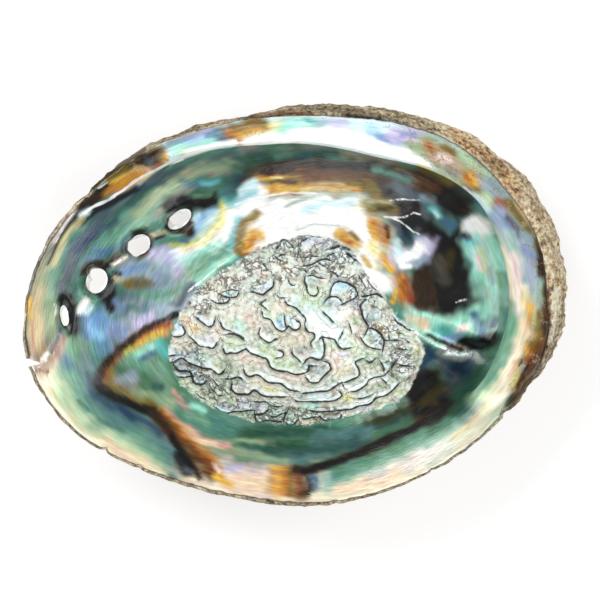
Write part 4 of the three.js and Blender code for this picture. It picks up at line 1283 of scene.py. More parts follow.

# strokes on the pearly shelf; the pinkish spot at its upper left and the white strokes along its inner edge
# are painted highlight
# inner edge of the shelf: its white strokes are painted highlight on the rounded edge
# painted highlight: the small pinkish spot
shelfStrokes = readRows("""
ice 14 -40,40 0,50 45,38
seaMist 10 50,34 62,14 62,-4
paleGreen 5 60,-8 56,-20 50,-30
seaGreen 2.6 58.6,-4 57.4,-13 53,-21
cream 2.4 62,-12 59,-20 55,-27
tan 3 -56,31 -48,36 -40,42
umber 1.8 -57,28.6 -53,31.4
peach 0.6 -54.4,32 -52.4,33.6
gold 1.7 -50,33.4 -46,35.4
amber 1 -51.6,31.6 -45,34.6
rust 0.7 -48.6,32.8 -42,36.4
umber 2.2 -43.4,40.4 -38,41
slate 1 -41.6,40.4 -40,39.6
olive 1 -37,43 -36.4,40.6
rust 0.8 -40,37.6 -37,39
gold 0.7 -35.8,41.6 -35.6,39.6
greyBlue 2.4 -33,44.8 -28,46.4 -22,47.4
sky 1.4 -30,45 -23,46.4
lavender 1 -31,46.4 -24,47.6
mint 1.4 -33,42.6 -26,44 -22,45
blue 0.6 -25,46.4 -22,46.8
paleGreen 0.9 -31,41.6 -25,42.6
blue 1.3 -21,47 -19.4,44.4
periwinkle 0.8 -19.6,44 -18,44.8
plum 1.1 -19.4,47.4 -17.4,45.6
amber 2.8 -17,47.6 -13,47 -11,48.6
olive 1.8 -16.6,49 -10,50
gold 1.7 -15,45.4 -11,46.4
lemon 1.1 -12,45 -9,46.6
rust 0.7 -17.4,45 -15,44.6
lemon 1.6 -7.4,49 -5,49.4
mint 2.6 -3,49 4,49.6
ice 2.2 4,48.6 14,48.4
lavender 1.2 7,50.4 14,49.8
aqua 0.7 3,50.6 8,50
sky 1.6 21,47.6 26,46.6
periwinkle 1.1 23,46.4 27,46.2 32,45.4
blue 0.5 25,45.4 30,44.4
greyBlue 2 28,48.4 34,47
lavender 2.6 27,46.8 35,45
periwinkle 0.8 29,47 33,46.6
sage 1.3 31,43.4 35,42.6
khaki 1 34,43 35.6,41.4
sage 4.4 37,42.6 44,38 50,33
mauve 2.4 38,41 43,38
tan 1.4 37,43.4 43,41.6
rust 0.8 36.6,43.8 38,43
olive 1.1 41,43.2 43.6,41.6
pink 1 39.6,40.4 42,39.8
grey 1 41.6,37.4 43.4,36
paleGreen 0.9 45,42 49,38.4 52.6,35.6
amber 2 47,36 50.4,33.6
gold 1 48.6,35.8 50.6,33
olive 1.1 50,31.8 51.4,31
plum 0.7 46.6,32.4 48.4,31
greyBlue 2.2 53,33.6 57,30.8
paleGreen 1.6 52,29.6 56,25
rust 1.7 55.6,28.4 58.6,26.6
olive 1.9 59.6,27 62.6,23 65.4,18.6
tan 0.8 60.6,28 64,23.6
periwinkle 2.1 54.8,25.6 58,21.4 60,18.6
plum 0.8 58.6,23.6 60.4,21
inkBlue 0.7 60.6,19.4 61.4,18.4
greyBlue 2.4 62.4,17.6 65,13 65.6,9
periwinkle 1.2 62.6,15.6 65,12.4
seaMist 1.8 58.6,19 61,13 62.6,8
greyBlue 1.3 63.6,10 65,4.6
pink 1.7 59.6,13 61.4,6 61.6,-1
olive 1.3 66.6,16 68.4,10 69,3
darkOlive 0.9 66.2,17.6 68.2,11 69.2,4
umber 0.8 66.8,12 67.4,8
cream 1.2 63,5 62.6,0
khaki 1.8 63.6,2 65,-3
gold 0.9 64.2,0 64.6,-5
khaki 0.8 64.8,-6 64.2,-10
olive 1.6 66,-3 66,-8 65,-12
khaki 0.6 65.4,-1.6 65.8,-8
peach 1.6 62.4,-4.6 64,-8.4
olive 1.2 66.8,-7 65.8,-12
brown 1.5 68.6,0 68.8,-7 67.6,-12.6
umber 0.8 68.8,-5 68.4,-8
olive 1.4 64,-12 64.4,-16
gold 0.6 63,-11 64.4,-14.4
brown 0.6 65.4,-14 63.6,-18
cream 1.8 61,-11 60,-17
tan 1.6 62,-17 60.6,-21
plum 1.5 66,-15.6 63.4,-20.6 61,-25
khaki 1 61.8,-18 59.6,-23
gold 0.7 62.8,-19 60.8,-22.4
black 0.4 62.4,-14.8 61.8,-17
black 0.4 63.8,-18 62.4,-20.6
white 0.6 63.4,-17 62.8,-18.6
peach 0.7 -58,26.4 -52,28.9 -45,33 -38,36.8 -33,38.8
white 0.8 -30,41.6 -22,43.8 -17,44.6
white 1.8 -13,44.6 -5,45.6 5,46.2 14,45.4 22,43.4 30,40.8 35,38.4
white 1.7 0,47 10,47 18,45.6
lemon 0.8 34,37.8 40,35 45,32
white 0.9 46.4,31.6 49,28.8
ice 1.3 49,29.4 52,26.4
sage 0.8 50,26.4 54,20.8 56.6,14
cream 1 56.8,15.6 58.8,8 59.6,0
seaGreen 1.3 59.4,0 59.4,-8 57,-16
umber 1.3 67.6,14 69.4,6 69.8,-2 69,-9 66.8,-15
brown 1.4 67.4,-10 65.4,-16.4 62.4,-22 59.6,-26.6
rust 0.6 65,-12.8 63.6,-16
black 0.5 64,-16.6 62.6,-19.4 61,-22.4
umber 0.7 60,-25.4 57.4,-29
""")

# strokes that cross from the shelf into the hollow at the upper left
edgeStrokes = readRows("""
umber 2.2 -60,24.6 -56.6,28.6 -53,31.6
umber 1.3 -52.4,34.4 -48.6,37.4 -43,40.4
olive 1.4 -51,36 -47,37.6
gold 1.7 -50.4,32.6 -47,34.2 -43,36
amber 1.1 -52.4,30.8 -48,32.8 -44,35
black 0.5 -56,31 -53.4,32.2 -52,33
ink 1 -60,22.8 -55.6,25.6 -50,28.6 -44,32
ice 0.7 -59.4,24.6 -57.3,25.7
grey 1 -62,26 -66,20 -70,12
pink 0.6 -61,26 -63.6,22.6 -66.4,17.4
khaki 0.8 -58.8,24.2 -61,22 -62.8,19.4 -64.8,16 -67,11
umber 0.35 -62,23 -65.2,18 -68.4,11
""")

# fine white lines: half width, places in mm; the lines along the shelf's inner edge and beside it, on the
# crease between two holes and by the notch are painted highlights
whiteLinesAndHighlights = readRows("""
0.34 -59.6,24.6 -55.6,27.1 -51.7,28.8 -49.4,30.5 -45,33.7 -40.4,36.5 -35,39.1 -28.2,41.7 -21,43.7 -14,44.8
0.2 -54.6,32.1 -52,33.7
0.2 -61.4,25.2 -63.6,22.2 -66.2,17
0.14 26,29.2 30,29.4 34.6,29.2
0.18 24.6,24.4 28,24.2 31,24.5 33,25.6 35,25.2
0.16 27,24 29,23.2 31,21.8 32.6,20.4 34.4,19.8
0.14 33,-7.2 36.4,-9.6 40,-11.8 42.6,-12.6
0.14 42,-13.4 45,-14 48.6,-13.6
0.16 44.6,0.4 46.6,1.2 47.6,1.4
0.2 -50.8,10.8 -48.6,12 -46.8,13.3
0.3 -66.4,0 -66.2,-3.4
0.2 -70.2,-15.6 -69,-14.4
0.12 -71,-17.2 -67.6,-14.6 -65,-10.4
0.2 -17,28 -10,30 -2,31.4 6,31
0.16 -36,14.4 -29,16.2 -23,20.6
0.16 -30,3.6 -24,8.8 -18.4,13
""")

# where brown and gold grains lie over the pearl of the shelf: strength, half width, places in mm
gritStrokes = readRows("""
1 3.4 -62,26 -54,33 -44,39.6 -37,42
0.9 2.6 -17,48.6 -10,49
0.6 1.4 -34,45.6 -20,50 0,53 18,51.6 32,47.6
0.9 4.4 34,44 42,40 50,34
0.9 3 46,42.6 56,33.6 64,22 68.6,8
0.9 2.6 68.6,8 67.6,-4 65,-14 61,-24
""")

# tints of the scar's pads, and dark spots between them
scarStrokes = readRows("""
# ground: mint at the right, beige in the middle, greyer to the left and below
paleGreen 5 5,0 8,-6 14,-9
ice 3 4,-3 8,-5.5 12,-7
white 2.2 4,-4.6 6,-7.4 10,-8
clay 3.4 -7,-10 -2,-9.5 2,-10
clay 2 -5,-12.4 -1,-11.4
pinkClay 2.2 -13,-3.6 -10.6,-5.4 -9.6,-6.4
pinkClay 2.2 14,-4 16,-6.6 17,-8
grey 3 -30,-18 -26,-22 -20,-26
sage 2.4 -27,-24 -22,-27 -14,-30 -4,-31 6,-31
sage 2.6 -20,-17 -18,-21 -20,-24
sage 2 18,-16 23,-15 25,-17
clay 2 -15,-16 -12,-17.5
sage 1.6 19,-13.6 22,-14
greyBlue 2 -33,-14 -28.6,-14.2
slate 1.2 -34,-17.4 -31,-17.6 -29,-18.6
# middle
mint 1.5 -10,-12 -8,-13 -7,-12
paleGreen 2 -9.6,-13.2 -6.4,-14 -5,-16.4
paleGreen 1.4 -4.6,-16.6 -1,-17 2,-17.2
seaMist 0.9 0.4,-16.8 2,-17.2
grey 1.5 0.4,-13.4 2,-13 3.2,-13.6
pinkClay 0.8 1.4,-14.6 3,-14.4
seaMist 1.3 5.6,-11 6.2,-13
ice 0.8 5,-13.8 6.6,-14.4
grey 1.6 5,-17.6 7.4,-17 8,-18.4
greyBlue 1 5.4,-18.4 6.4,-19.2
bone 1 4.8,-20.6 6,-20.8
blush 1.3 -3,-20.6 1.6,-20.6
blush 1.4 10.6,-14.4 11,-16.6
blush 1 -15.6,-14.8 -12.6,-15.2 -10.4,-15.8
white 0.7 -14,-13.4 -11,-13.2
seaMist 1 -4.2,-2.8 -3.4,-3.2
sky 1 -4.5,-4.8 -4.4,-6
ice 1.1 -2,-4 -1,-5.4
white 0.7 -0.8,-6.4 0.4,-6
white 0.8 1.2,-4 1.8,-4.6
paleGreen 1.2 -8.4,-2.6 -6.6,-3.4
grey 0.8 -8.6,-6.8 -7.4,-7.8
white 0.7 -9.2,-8.8 -7.6,-9.4
ice 0.9 0,0.8 -0.6,2.2
cream 1.2 -5,-0.4 -3,-1.4
blush 0.8 -4.4,0.4 -3.4,0.2
# pads above and right of the middle
sky 1.6 11.4,4.8 14,4.6
ice 1.2 11,3.2 14.6,3.6 16,4
cream 0.9 13.2,2 15.6,2.4
greyBlue 1.5 9,0.8 11.4,0.6 10.8,-0.8
ice 0.8 8.8,-1.8 10.6,-2.4
seaMist 1.1 3.6,7 5,7.2
grey 0.7 3.6,5.4 4.8,5.6
rose 0.5 6.2,7 8,7
blush 1.8 13.6,-2.4 17,-2.6
lavender 0.8 16.6,1 17,-0.6
white 1.2 14,-1.4 12.4,-3.6
sage 0.9 15.6,-4 17,-4.6
ice 0.9 13,-10.8 14.4,-11
lavender 0.8 12.4,-14 14,-14
greyBlue 1.2 21.4,-8.8 22.6,-9.4
ice 1.1 21.4,-10.6 23.2,-10.6
white 0.6 21.2,-11.6 23.6,-11.4
sage 0.9 20.2,-9.4 20.6,-10.6
greyBlue 1.6 20,-2.6 22.4,-3
ice 0.7 21.4,-4.6 22.4,-5.2
lemon 0.6 22.6,-5.6 24,-7
peach 0.9 22.2,-6 24.6,-8.2
paleGreen 2 27,-7 30.4,-8.4
white 1.4 26.4,-6.6 28,-6.2
white 1.4 28.4,-14 31.4,-15
bone 1.8 26.4,-11.6 30,-11.4
pinkClay 0.7 30,-11 32,-10.6
sage 2 32.6,-12.8 34,-15.6
khaki 0.9 33.4,-12.2 35,-13
white 1 29.4,-18.6 32,-18.6
slate 0.8 30,-21 32,-20.6
mauve 0.8 33,-19.4 32.6,-20.6
olive 0.6 25.6,-0.6 27.4,-0.2
lime 0.8 26.4,1 27.2,1.4
periwinkle 0.9 28.8,-4 30,-4.6
# crescents at the left
lavender 0.7 -27,-3.6 -25.4,-4.6 -23.8,-5.4
white 0.4 -25,-5 -23.8,-5.7
lavender 1 -33.6,-6.6 -32,-6.6
sky 0.8 -33,-5.9 -32,-6.8
white 0.5 -33.6,-7.8 -32,-7.8
amber 0.9 -30.6,-4.4 -29.4,-4.8
peach 1.6 -30.2,-4.8 -28.4,-6.8
gold 0.7 -28.6,-6.6 -27.4,-7
cream 1.6 -33,-11 -30.4,-11.4
lavender 0.8 -26.6,-9.6 -24,-9.8
white 0.7 -27,-10.6 -25,-11.2 -23,-11.6
greyBlue 0.5 -26.8,-9.2 -25.8,-9.8
mint 1 -27,-14.4 -25,-15
ice 0.7 -26.4,-16.4 -23.6,-16.6
cream 0.8 -22.4,-18.2 -21.4,-18.4
slate 0.8 -31.8,-19.4 -29.6,-19.4
greyBlue 0.9 -28,-20.8 -26.4,-20.8
cornflower 0.8 -34.2,-19.6 -33.8,-21.8
paleGreen 1 -32.6,-21.4 -30.4,-21.2
paleGreen 1.6 -30.6,-23.4 -28.4,-23.8
paleGreen 1.6 -18.4,-10.8 -16,-11
mint 1.2 -16.6,-5.4 -15,-6.4
blush 1.4 -22,-7.6 -20.4,-8
white 0.6 -22.6,1.2 -20,1.1
ice 0.6 -19.6,2.8 -17.8,2.6
seaMist 0.7 -20,3.4 -17.4,3.6
white 1.8 -28,0.6 -24.6,2
cream 1.6 -24,4 -20.6,5
seaMist 1.6 -11,5.6 -8.6,6
lavender 0.9 -9.6,4.4 -8.2,5.4
blush 1.2 -10.8,9.4 -9,8.2
blush 0.9 -17.8,8 -15.6,6.6
cream 1.8 -5,10.6 -2.4,10.8
lavender 1.2 2,17.4 7,17.8 9.6,17
ice 1 3,20 8,20
ice 1.4 11,13.8 13,12.6
cyan 0.5 15.8,13.8 16.6,13
lavender 0.8 16.4,13.9 17.6,13.2
amber 1 12,19 14,18.6 15.6,17
gold 0.7 11.6,20 15,20
amber 0.8 18.6,12.4 20,10.8
white 3 22,7 25,6
# rows below the middle
cream 1.2 -12.6,-21.2 -9.6,-22.6 -6,-24 -3.6,-24.8
lemon 0.6 -8.6,-23.2 -5.6,-24.6
white 0.7 -7.6,-19.8 -6,-20.6
blush 1 -16.4,-23.6 -13.4,-23.6
ice 0.7 -15.4,-22 -14,-22.4
paleGreen 0.9 -19.6,-25.6 -18.6,-26
ice 1 -20.6,-28.6 -18.8,-29
lavender 0.9 -20,-28.4 -18.2,-29.2
plum 0.7 -18,-28.4 -16.8,-28.8
lavender 1 -15.4,-28 -13.6,-27.6
lavender 0.6 -11.4,-28.6 -9.6,-29
cream 1 10.6,-19 14.6,-18.6
mauve 0.9 15.6,-17.8 15.8,-19.2
seaMist 1 14.6,-22.4 17,-22.2
white 0.6 13.8,-22.6 15.6,-23.6 18,-22.8
pinkClay 0.6 16,-24 17.6,-23.4
white 0.9 11.6,-22.8 13,-24
lime 0.6 14,-26 15,-26.4
lemon 1 13.6,-25.4 15.6,-26
seaMist 1 8.6,-21.6 10,-21.4
mauve 0.6 10,-24.6 12,-24.6
ice 1 4.6,-25.6 9,-25.6
mint 1 2.6,-28.2 4.6,-28.4
cyan 0.7 5.4,-27.8 6.8,-28.4
mauve 0.7 7,-28.8 8.4,-28.6
seaMist 0.9 -1.6,-30.4 1.4,-30.6
khaki 1 1.6,-33 7,-32.8
sage 1.3 21.6,-22.6 25,-22.6
white 0.5 20.6,-22 21.6,-21.2 23.6,-20.9
white 0.6 24.6,-20.2 26.6,-20
paleGreen 1.1 27,-20.4 29,-20.8
seaMist 0.8 17.4,-25.8 20,-25.6
white 0.4 18,-27.2 20.6,-27
paleGreen 1 22.4,-27.4 25,-26.6
khaki 0.9 22.6,-29.4 25,-29
grey 1 26.4,-27.6 28,-26
paleGreen 1 27.4,-24.6 28.6,-24.4
lavender 0.5 17.6,-29 20.6,-28.8
sage 0.9 17.6,-30.8 20.6,-30.8
brown 0.6 8,-30.8 12,-30.8
# dark spots
black 0.5 -5.7,-9.7
black 0.35 -4.6,-13
black 0.45 -9.7,0.2
black 0.45 -30.1,-0.2
slate 0.8 -31.8,-1.2 -30.6,0 -29,1.8 -27.4,3.4
umber 0.6 -27,-2.4
slate 0.5 -22.6,8
umber 0.4 -20.2,5
inkBlue 0.8 -15.6,12.4
slate 0.5 -12.6,8
umber 0.4 -8,16.7
black 0.5 -5.2,16
slate 0.5 6.6,18.9
black 0.45 -24.6,-28.8
black 0.5 19.7,-23.9
umber 0.4 15.5,-13.6
inkBlue 0.5 22.8,-4.2
inkBlue 0.4 20.6,-4.4
darkOlive 0.5 26,-0.9
umber 0.4 -1.2,-28.6
black 0.4 -25.4,-22
umber 0.4 26.2,-9
black 0.4 -33.4,-17.4 -32.8,-18.4
umber 0.5 12.6,-31.6 12,-30.6
umber 0.7 24.2,-17.2 24.6,-18
plum 0.5 16.4,5 15.2,5.8
plum 0.5 11,16.2 12,16.2
""")

# tints of the crust where it shows from above
crustStrokes = readRows("""
sand 9 70,-12 74,8 70,26 60,40 48,48
drab 3.4 -40,47 -20,53 0,55.6 20,54 36,50.6
brown 0.7 -14,51.6 -4,52.6 4,52.8
umber 0.7 14,52.4 20,51.4 24,50.4
drab 3 -70,20 -60,34 -48,43
grey 1.6 -74,4 -70,16 -64,27
umber 1 -62,28 -52,36 -42,42.6
tan 1.6 44,47 54,40 62,30
drab 2.4 71,-6 69,-14 64,-22
drab 3 56,-28 44,-40 26,-50 0,-55
drab 3 0,-55 -24,-54 -46,-46 -66,-27 -74,-12
brown 1.2 69.2,4 69.4,-4 68.6,-11 66,-17 62.6,-23 58.6,-28
drab 0.6 73.6,2 73.4,-4 71.6,-11
paleCream 0.8 71.6,4 71.4,-4 69.8,-10
""")


# from a colour of the screen to light, by the standard curve
def screenColour(name):
    values = np.array(tints[name]) / 255
    return np.where(values > 0.04045, ((values + 0.055) / 1.055) ** 2.4, values / 12.92)


# place in the run of the pearl: far along it and close across it, round the middle of the hollow
flow = {"x": 2, "y": -2, "along": 3.2, "across": 24}


def flowRun(x, y):
    turn = np.arctan2(y - flow["y"], x - flow["x"])
    share = np.hypot(x - flow["x"], y - flow["y"]) / outlineAt(np.degrees(turn))
    along = flow["along"]
    return turn, np.stack([along * np.cos(turn), along * np.sin(turn), flow["across"] * share], -1)


# strokes: how far they wander, their soft edge in mm and by width, and the veil of threads over them
brush = {
    "firm": {"wander": 0.16, "soft": 0.2, "softer": 0.4},
    "loose": {"wander": 0.26, "soft": 0.12, "softer": 0.66},
    "leastWander": 0.05, "thinned": 0.28, "tooWideToThin": 3,
    "fineWander": 0.1, "scarWander": 0.3, "scarShare": 0.7,
}
firmTints = ["black", "umber", "white", "ink"]
veilForm = {"middle": 0.5, "contrast": 1.4, "size": 0.8}


# noise in the painted places: its size, seed and reach in mm; the threads are sized in the run
unsteady = {"threads": (0.9, 3, 0.65), "along": (4.5, 10, 3), "across": (5, 25, 2.4), "fine": (2.2, 35, 0.4)}


def unsteadyBy(name, points):
    size, seed, reach = unsteady[name]
    return cloud(points, size, 2, seed) * reach


# shifts of the places that colours are painted at, along the run of the pearl and across it
def paintShift(x, y, points):
    turn, run = flowRun(x, y)
    along = unsteadyBy("threads", run) + unsteadyBy("along", points)
    across = unsteadyBy("across", points) + unsteadyBy("fine", points)
    return across * np.cos(turn) - along * np.sin(turn), across * np.sin(turn) + along * np.cos(turn)


# paints strokes over a ground, with soft edges and a veil of threads; later strokes lie over earlier ones
def painted(x, y, shift, veil, ground, strokes):
    colour = np.tile(screenColour(ground), (len(x), 1))
    for count, (tint, width, places) in enumerate(strokes):
        firm = tint in firmTints
        own = brush["firm" if firm else "loose"]
        wander = min(1, brush["leastWander"] + own["wander"] * width)
        gap = fromLine(x + wander * shift[0], y + wander * shift[1], places)
        soft = own["soft"] + own["softer"] * width
        solid = firm or width > brush["tooWideToThin"]
        thin = 0 if solid else brush["thinned"] * (veil if count % 2 else 1 - veil)
        cover = ease(width + soft, width - soft, gap) * (1 - thin)
        colour = mix(colour, screenColour(tint), cover[:, None])
    return colour


# layers of pad lines: no two lines of a layer are close, and each layer is one number of a vector
padLayer = {"count": 6, "farOff": 7.0, "apart": 2.2, "reach": 2.5}


# signed distances to the pad lines, in half widths
def padLayers(x, y, onScar):
    farOff = padLayer["farOff"]
    layers = np.full((padLayer["count"], len(x)), farOff)
    kept = [[] for layer in layers]
    lines = [np.array(rounded(places)) for width, places in padLines]

    def nearestOf(number, other):
        return np.hypot(*(lines[number][:, None] - lines[other][None]).transpose(2, 0, 1)).min()

    def add(number, near, gap):
        for layer, others in enumerate(kept):
            if all(nearestOf(number, other) > padLayer["apart"] for other in others):
                break
        kept[layer].append(number)
        scaledGap = gap / padLines[number][0]
        nearer = np.abs(scaledGap) < np.abs(layers[layer, near])
        layers[layer, near] = np.where(nearer, scaledGap, layers[layer, near])
    eachPadLine(x, y, padLayer["reach"], add)
    print("pad lines in layers:", [len(others) for others in kept])
    layers = np.where(onScar, np.clip(layers, -farOff, farOff), farOff)
    return layers[:3].T, layers[3:].T


def addAttribute(name, values, kind="FLOAT", field="value"):
    made = shell.data.attributes.new(name, kind, "POINT")
    made.data.foreach_set(field, np.ascontiguousarray(values, float).ravel())


def addColour(name, colour):
    addAttribute(name, np.column_stack([colour, np.ones(len(colour))]), "FLOAT_COLOR", "color")


# what is known of the nearest point of the skin, because the cut holes have new vertices
def factsAt(points):
    tree = kdtree.KDTree(len(skinPoints))
    for i, place in enumerate(skinPoints.tolist()):
        tree.insert(place, i)
    tree.balance()
    nearest = np.array([tree.find(place)[1] for place in points.tolist()])
    return skinFacts["hollowShare"][nearest], skinFacts["crustEdge"][nearest]


growthRun = {"round": 10, "back": 3.2}
groundCrumbs = 0.12
holeEdge = 0.6  # past it the stain is drawn in or out, by each hole's own stain


# writes what the material reads at each vertex: colours, masks and the run of growth
def markSurface():
    points = vertexPlaces(shell) / mm
    hollowShare, crustEdge = factsAt(points)
    x, y = points[:, 0], points[:, 1]
    shift = np.array(paintShift(x, y, points))
    run = flowRun(x, y)[1]
    veil = np.clip(veilForm["middle"] + veilForm["contrast"] * cloud(run, veilForm["size"], 3, seed=15), 0, 1)
    # the strokes hold colours and also painted highlight and shade, and go into the pearl's tint
    hollow = painted(x, y, shift, veil, "teal", hollowStrokes + edgeStrokes)
    shelf = painted(x, y, shift, veil, "mint", shelfStrokes + edgeStrokes)
    onPads = painted(x, y, brush["scarWander"] * shift, veil, "bone", scarStrokes)
    addColour("pearl", mix(shelf, hollow, hollowShare[:, None]))
    addColour("scarTint", mix(screenColour("bone"), onPads, brush["scarShare"]))
    addColour("crustTint", painted(x, y, shift, veil, "sand", crustStrokes))

    inHollow = crustEdge < noCrust
    depth = np.where(hollowShare > 0.5, insideScar(x, y), noCrust)
    first, second = padLayers(x, y, (depth > -scarBorder) & inHollow)
    fine = [fromLine(x + brush["fineWander"] * shift[0], y + brush["fineWander"] * shift[1], places) - width
            for width, places in whiteLinesAndHighlights]
    gaps = [fromHole(x, y, hole) for hole in openHoles]
    stained = [np.where(gap < holeEdge, gap, holeEdge + (gap - holeEdge) / hole["stain"])
               for gap, hole in zip(gaps, openHoles)]
    addAttribute("crustEdge", crustEdge)
    addAttribute("scarDepth", np.where(inHollow, depth, noCrust))
    addAttribute("crumbs", covered(x, y, groundCrumbs, crumbStrokes))
    addAttribute("grit", covered(x, y, 0, gritStrokes) * (1 - hollowShare))
    addAttribute("whiteLineAndHighlightGap", np.min(fine, axis=0))
    addAttribute("holeGap", np.min(stained, axis=0))

    phase = coilPlace(x, y)[2]
    wide, back = growthRun["round"], growthRun["back"]
    growth = np.stack([wide * np.cos(phase), wide * np.sin(phase), back * growthAt(x, y)], -1)
    for name, values in {"padsA": first, "padsB": second, "flowRun": run, "growthRun": growth}.items():
        addAttribute(name, values, "FLOAT_VECTOR", "vector")
    print("surface marked")


markSurface()


def screen4(name):
    return (*screenColour(name).tolist(), 1)


# adds a node, with its inputs set or linked by name or place; a tint's name stands for its colour
def addNode(tree, kind, inputs=None, **settings):
    made = tree.nodes.new(kind)
    for key, value in settings.items():
        setattr(made, key, value)
    for key, value in (inputs or {}).items():
        if isinstance(value, bpy.types.NodeSocket):
            tree.links.new(value, made.inputs[key])
        else:
            made.inputs[key].default_value = screen4(value) if isinstance(value, str) else value
    return made


def calc(tree, operation, *values):
    return addNode(tree, "ShaderNodeMath", dict(enumerate(values)), operation=operation).outputs[0]


def times(tree, first, second):
    return calc(tree, "MULTIPLY", first, second)


def scaled(tree, value, factor, shift):
    return calc(tree, "MULTIPLY_ADD", value, factor, shift)


def plus(tree, first, second):
    return calc(tree, "ADD", first, second)


def larger(tree, first, second):
    return calc(tree, "MAXIMUM", first, second)


def rest(tree, value):
    return calc(tree, "SUBTRACT", 1.0, value)


def blend(tree, kind, share, first, second):
    made = addNode(tree, "ShaderNodeMix", {0: share, 6: first, 7: second}, data_type="RGBA", blend_type=kind)
    return made.outputs[2]


# 0 up to low and 1 past high, or the other way round where low is the higher one
def smoothStep(tree, value, low, high):
    made = addNode(tree, "ShaderNodeMapRange", {0: value, 1: low, 2: high, 3: 0.0, 4: 1.0},
                   interpolation_type="SMOOTHSTEP")
    return made.outputs[0]


# a smooth line of colours through stops of a place and a tint, a colour or a grey
def ramp(tree, value, *stops):
    made = addNode(tree, "ShaderNodeValToRGB", {0: value})
    ends = made.color_ramp.elements
    while len(ends) < len(stops):
        ends.new(0.5)
    for end, (where, colour) in zip(ends, stops):
        if isinstance(colour, str):
            colour = screen4(colour)
        elif isinstance(colour, float):
            colour = (colour, colour, colour, 1)
        end.position = where
        end.color = colour if len(colour) == 4 else (*colour, 1)
    return made.outputs[0]


# noise outputs: value, colour
def noiseOf(tree, where, scale, detail, rough=0.5, bend=0.0):
    inputs = {"Vector": where, "Scale": scale, "Detail": detail, "Roughness": rough, "Distortion": bend}
    return addNode(tree, "ShaderNodeTexNoise", inputs).outputs


def objectPlace(tree):
    return addNode(tree, "ShaderNodeTexCoord").outputs["Object"]


def parts(tree, vector):
    return addNode(tree, "ShaderNodeSeparateXYZ", {0: vector}).outputs


def read(tree, name, socket="Fac"):
    return addNode(tree, "ShaderNodeAttribute", attribute_name=name).outputs[socket]


def startGroup(name, inputs, outputs):
    group = bpy.data.node_groups.new(name, "ShaderNodeTree")
    for way, sockets in (("INPUT", inputs), ("OUTPUT", outputs)):
        for label, kind in sockets.items():
            group.interface.new_socket(label, in_out=way, socket_type="NodeSocket" + kind)
    return group, group.nodes.new("NodeGroupInput").outputs


def endGroup(group, *results):
    ending = group.nodes.new("NodeGroupOutput")
    for result, socket in zip(results, ending.inputs):
        group.links.new(result, socket)
    return group


def useGroup(tree, group, inputs):
    return addNode(tree, "ShaderNodeGroup", inputs, node_tree=group).outputs


# silky bands that run with the growth, at two widths
silkLook = {"detail": 3.0, "finer": 4.0, "bend": 0.4, "threadBend": 0.2}


def silkGroup():
    group, given = startGroup(
        "silk", {"Run": "Vector", "Width": "Float"}, {"Bands": "Float", "Threads": "Float"})
    run, width = given[:2]
    bands = noiseOf(group, run, width, silkLook["detail"], bend=silkLook["bend"])
    finer = times(group, width, silkLook["finer"])
    threads = noiseOf(group, run, finer, silkLook["detail"], bend=silkLook["threadBend"])
    return endGroup(group, bands[0], threads[0])


# colour of the pearl: the painted tint, with bands of shifting hue and grains of grit;
# in this and the other looks a noise is its scale, its detail and its roughness
pearlLook = {
    "bandWidth": 0.9, "play": 0.3, "hue": (0.12, 0.44), "saturation": 0.98, "light": (0.8, 0.6),
    "grainNoise": (1300.0, 4.0, 0.7), "blotNoise": (300.0, 2.0), "fewerGrains": (-0.16, 0.67),
    "blotted": -0.5, "lifted": 0.25, "grainEdge": 0.12, "gritty": (0.05, 0.5), "grit": 0.7,
}


def pearlGroup(silk):
    look = pearlLook
    group, given = startGroup(
        "pearl", {"Tint": "Color", "Run": "Vector", "Grit": "Float"}, {"Colour": "Color"})
    tint, run, grit = given[:3]
    where = objectPlace(group)
    bands = useGroup(group, silk, {"Run": run, "Width": look["bandWidth"]})
    play = ramp(group, bands[0], (0.30, "blue"), (0.40, "teal"), (0.48, "seaGreen"), (0.54, "khaki"),
                (0.60, "rose"), (0.70, "periwinkle"))
    turned = addNode(group, "ShaderNodeHueSaturation", {
        "Hue": scaled(group, bands[1], *look["hue"]), "Saturation": look["saturation"],
        "Value": scaled(group, bands[1], *look["light"]), "Fac": 1.0,
        "Color": blend(group, "SOFT_LIGHT", look["play"], tint, play),
    }).outputs[0]
    fine = noiseOf(group, where, *look["grainNoise"])[0]
    blots = noiseOf(group, where, *look["blotNoise"])[0]
    low = plus(group, scaled(group, grit, *look["fewerGrains"]), look["lifted"])
    low = scaled(group, blots, look["blotted"], low)
    high = plus(group, low, look["grainEdge"])
    grains = times(group, smoothStep(group, fine, low, high), smoothStep(group, grit, *look["gritty"]))
    hues = ramp(group, blots, (0.38, "umber"), (0.46, "brown"), (0.54, "olive"), (0.64, "drab"))
    return endGroup(group, blend(group, "MIX", times(group, grains, look["grit"]), turned, hues))


# silvery pads of the scar: a dark line at each pad's front, partly a stain and partly a painted shadow under
# its step, a painted highlight on the pad, painted shade before it, and crumbs;
# the painted highlight and shade rise and fall between distances to the line, in half widths of it
scarLook = {
    "wobbleNoise": (900.0, 3.0), "cloudNoise": (330.0, 3.0), "grainNoise": (800.0, 3.0),
    "light": (0.7, 1.8, 5.0, 2.2), "paintedShade": (-0.6, -1.4, -3.8, -1.6),
    "lineReach": (2.2, -0.15), "lineEdge": (0.6, 1.25), "line": 0.95, "lineTint": (0.012, 0.010, 0.010, 1),
    "crumbScale": 500.0, "crumbBend": 0.003, "crumbly": (0.2, 0.7), "broken": (0.40, 0.52),
    "crackWidth": (0.26, 0.02), "crackEdge": 0.03, "cracks": 0.85, "crown": (0.08, 0.3), "crumbHues": 0.6,
    "hues": 0.35, "paintedHighlight": (1.6, -0.3), "grain": 0.6, "specks": (0.42, 0.34), "speckShare": (0.4, 0.3),
    "speckDark": 0.55, "paintedShadeDark": 0.75, "darkTint": (0.06, 0.058, 0.048, 1), "darkAsLine": 0.6,
}


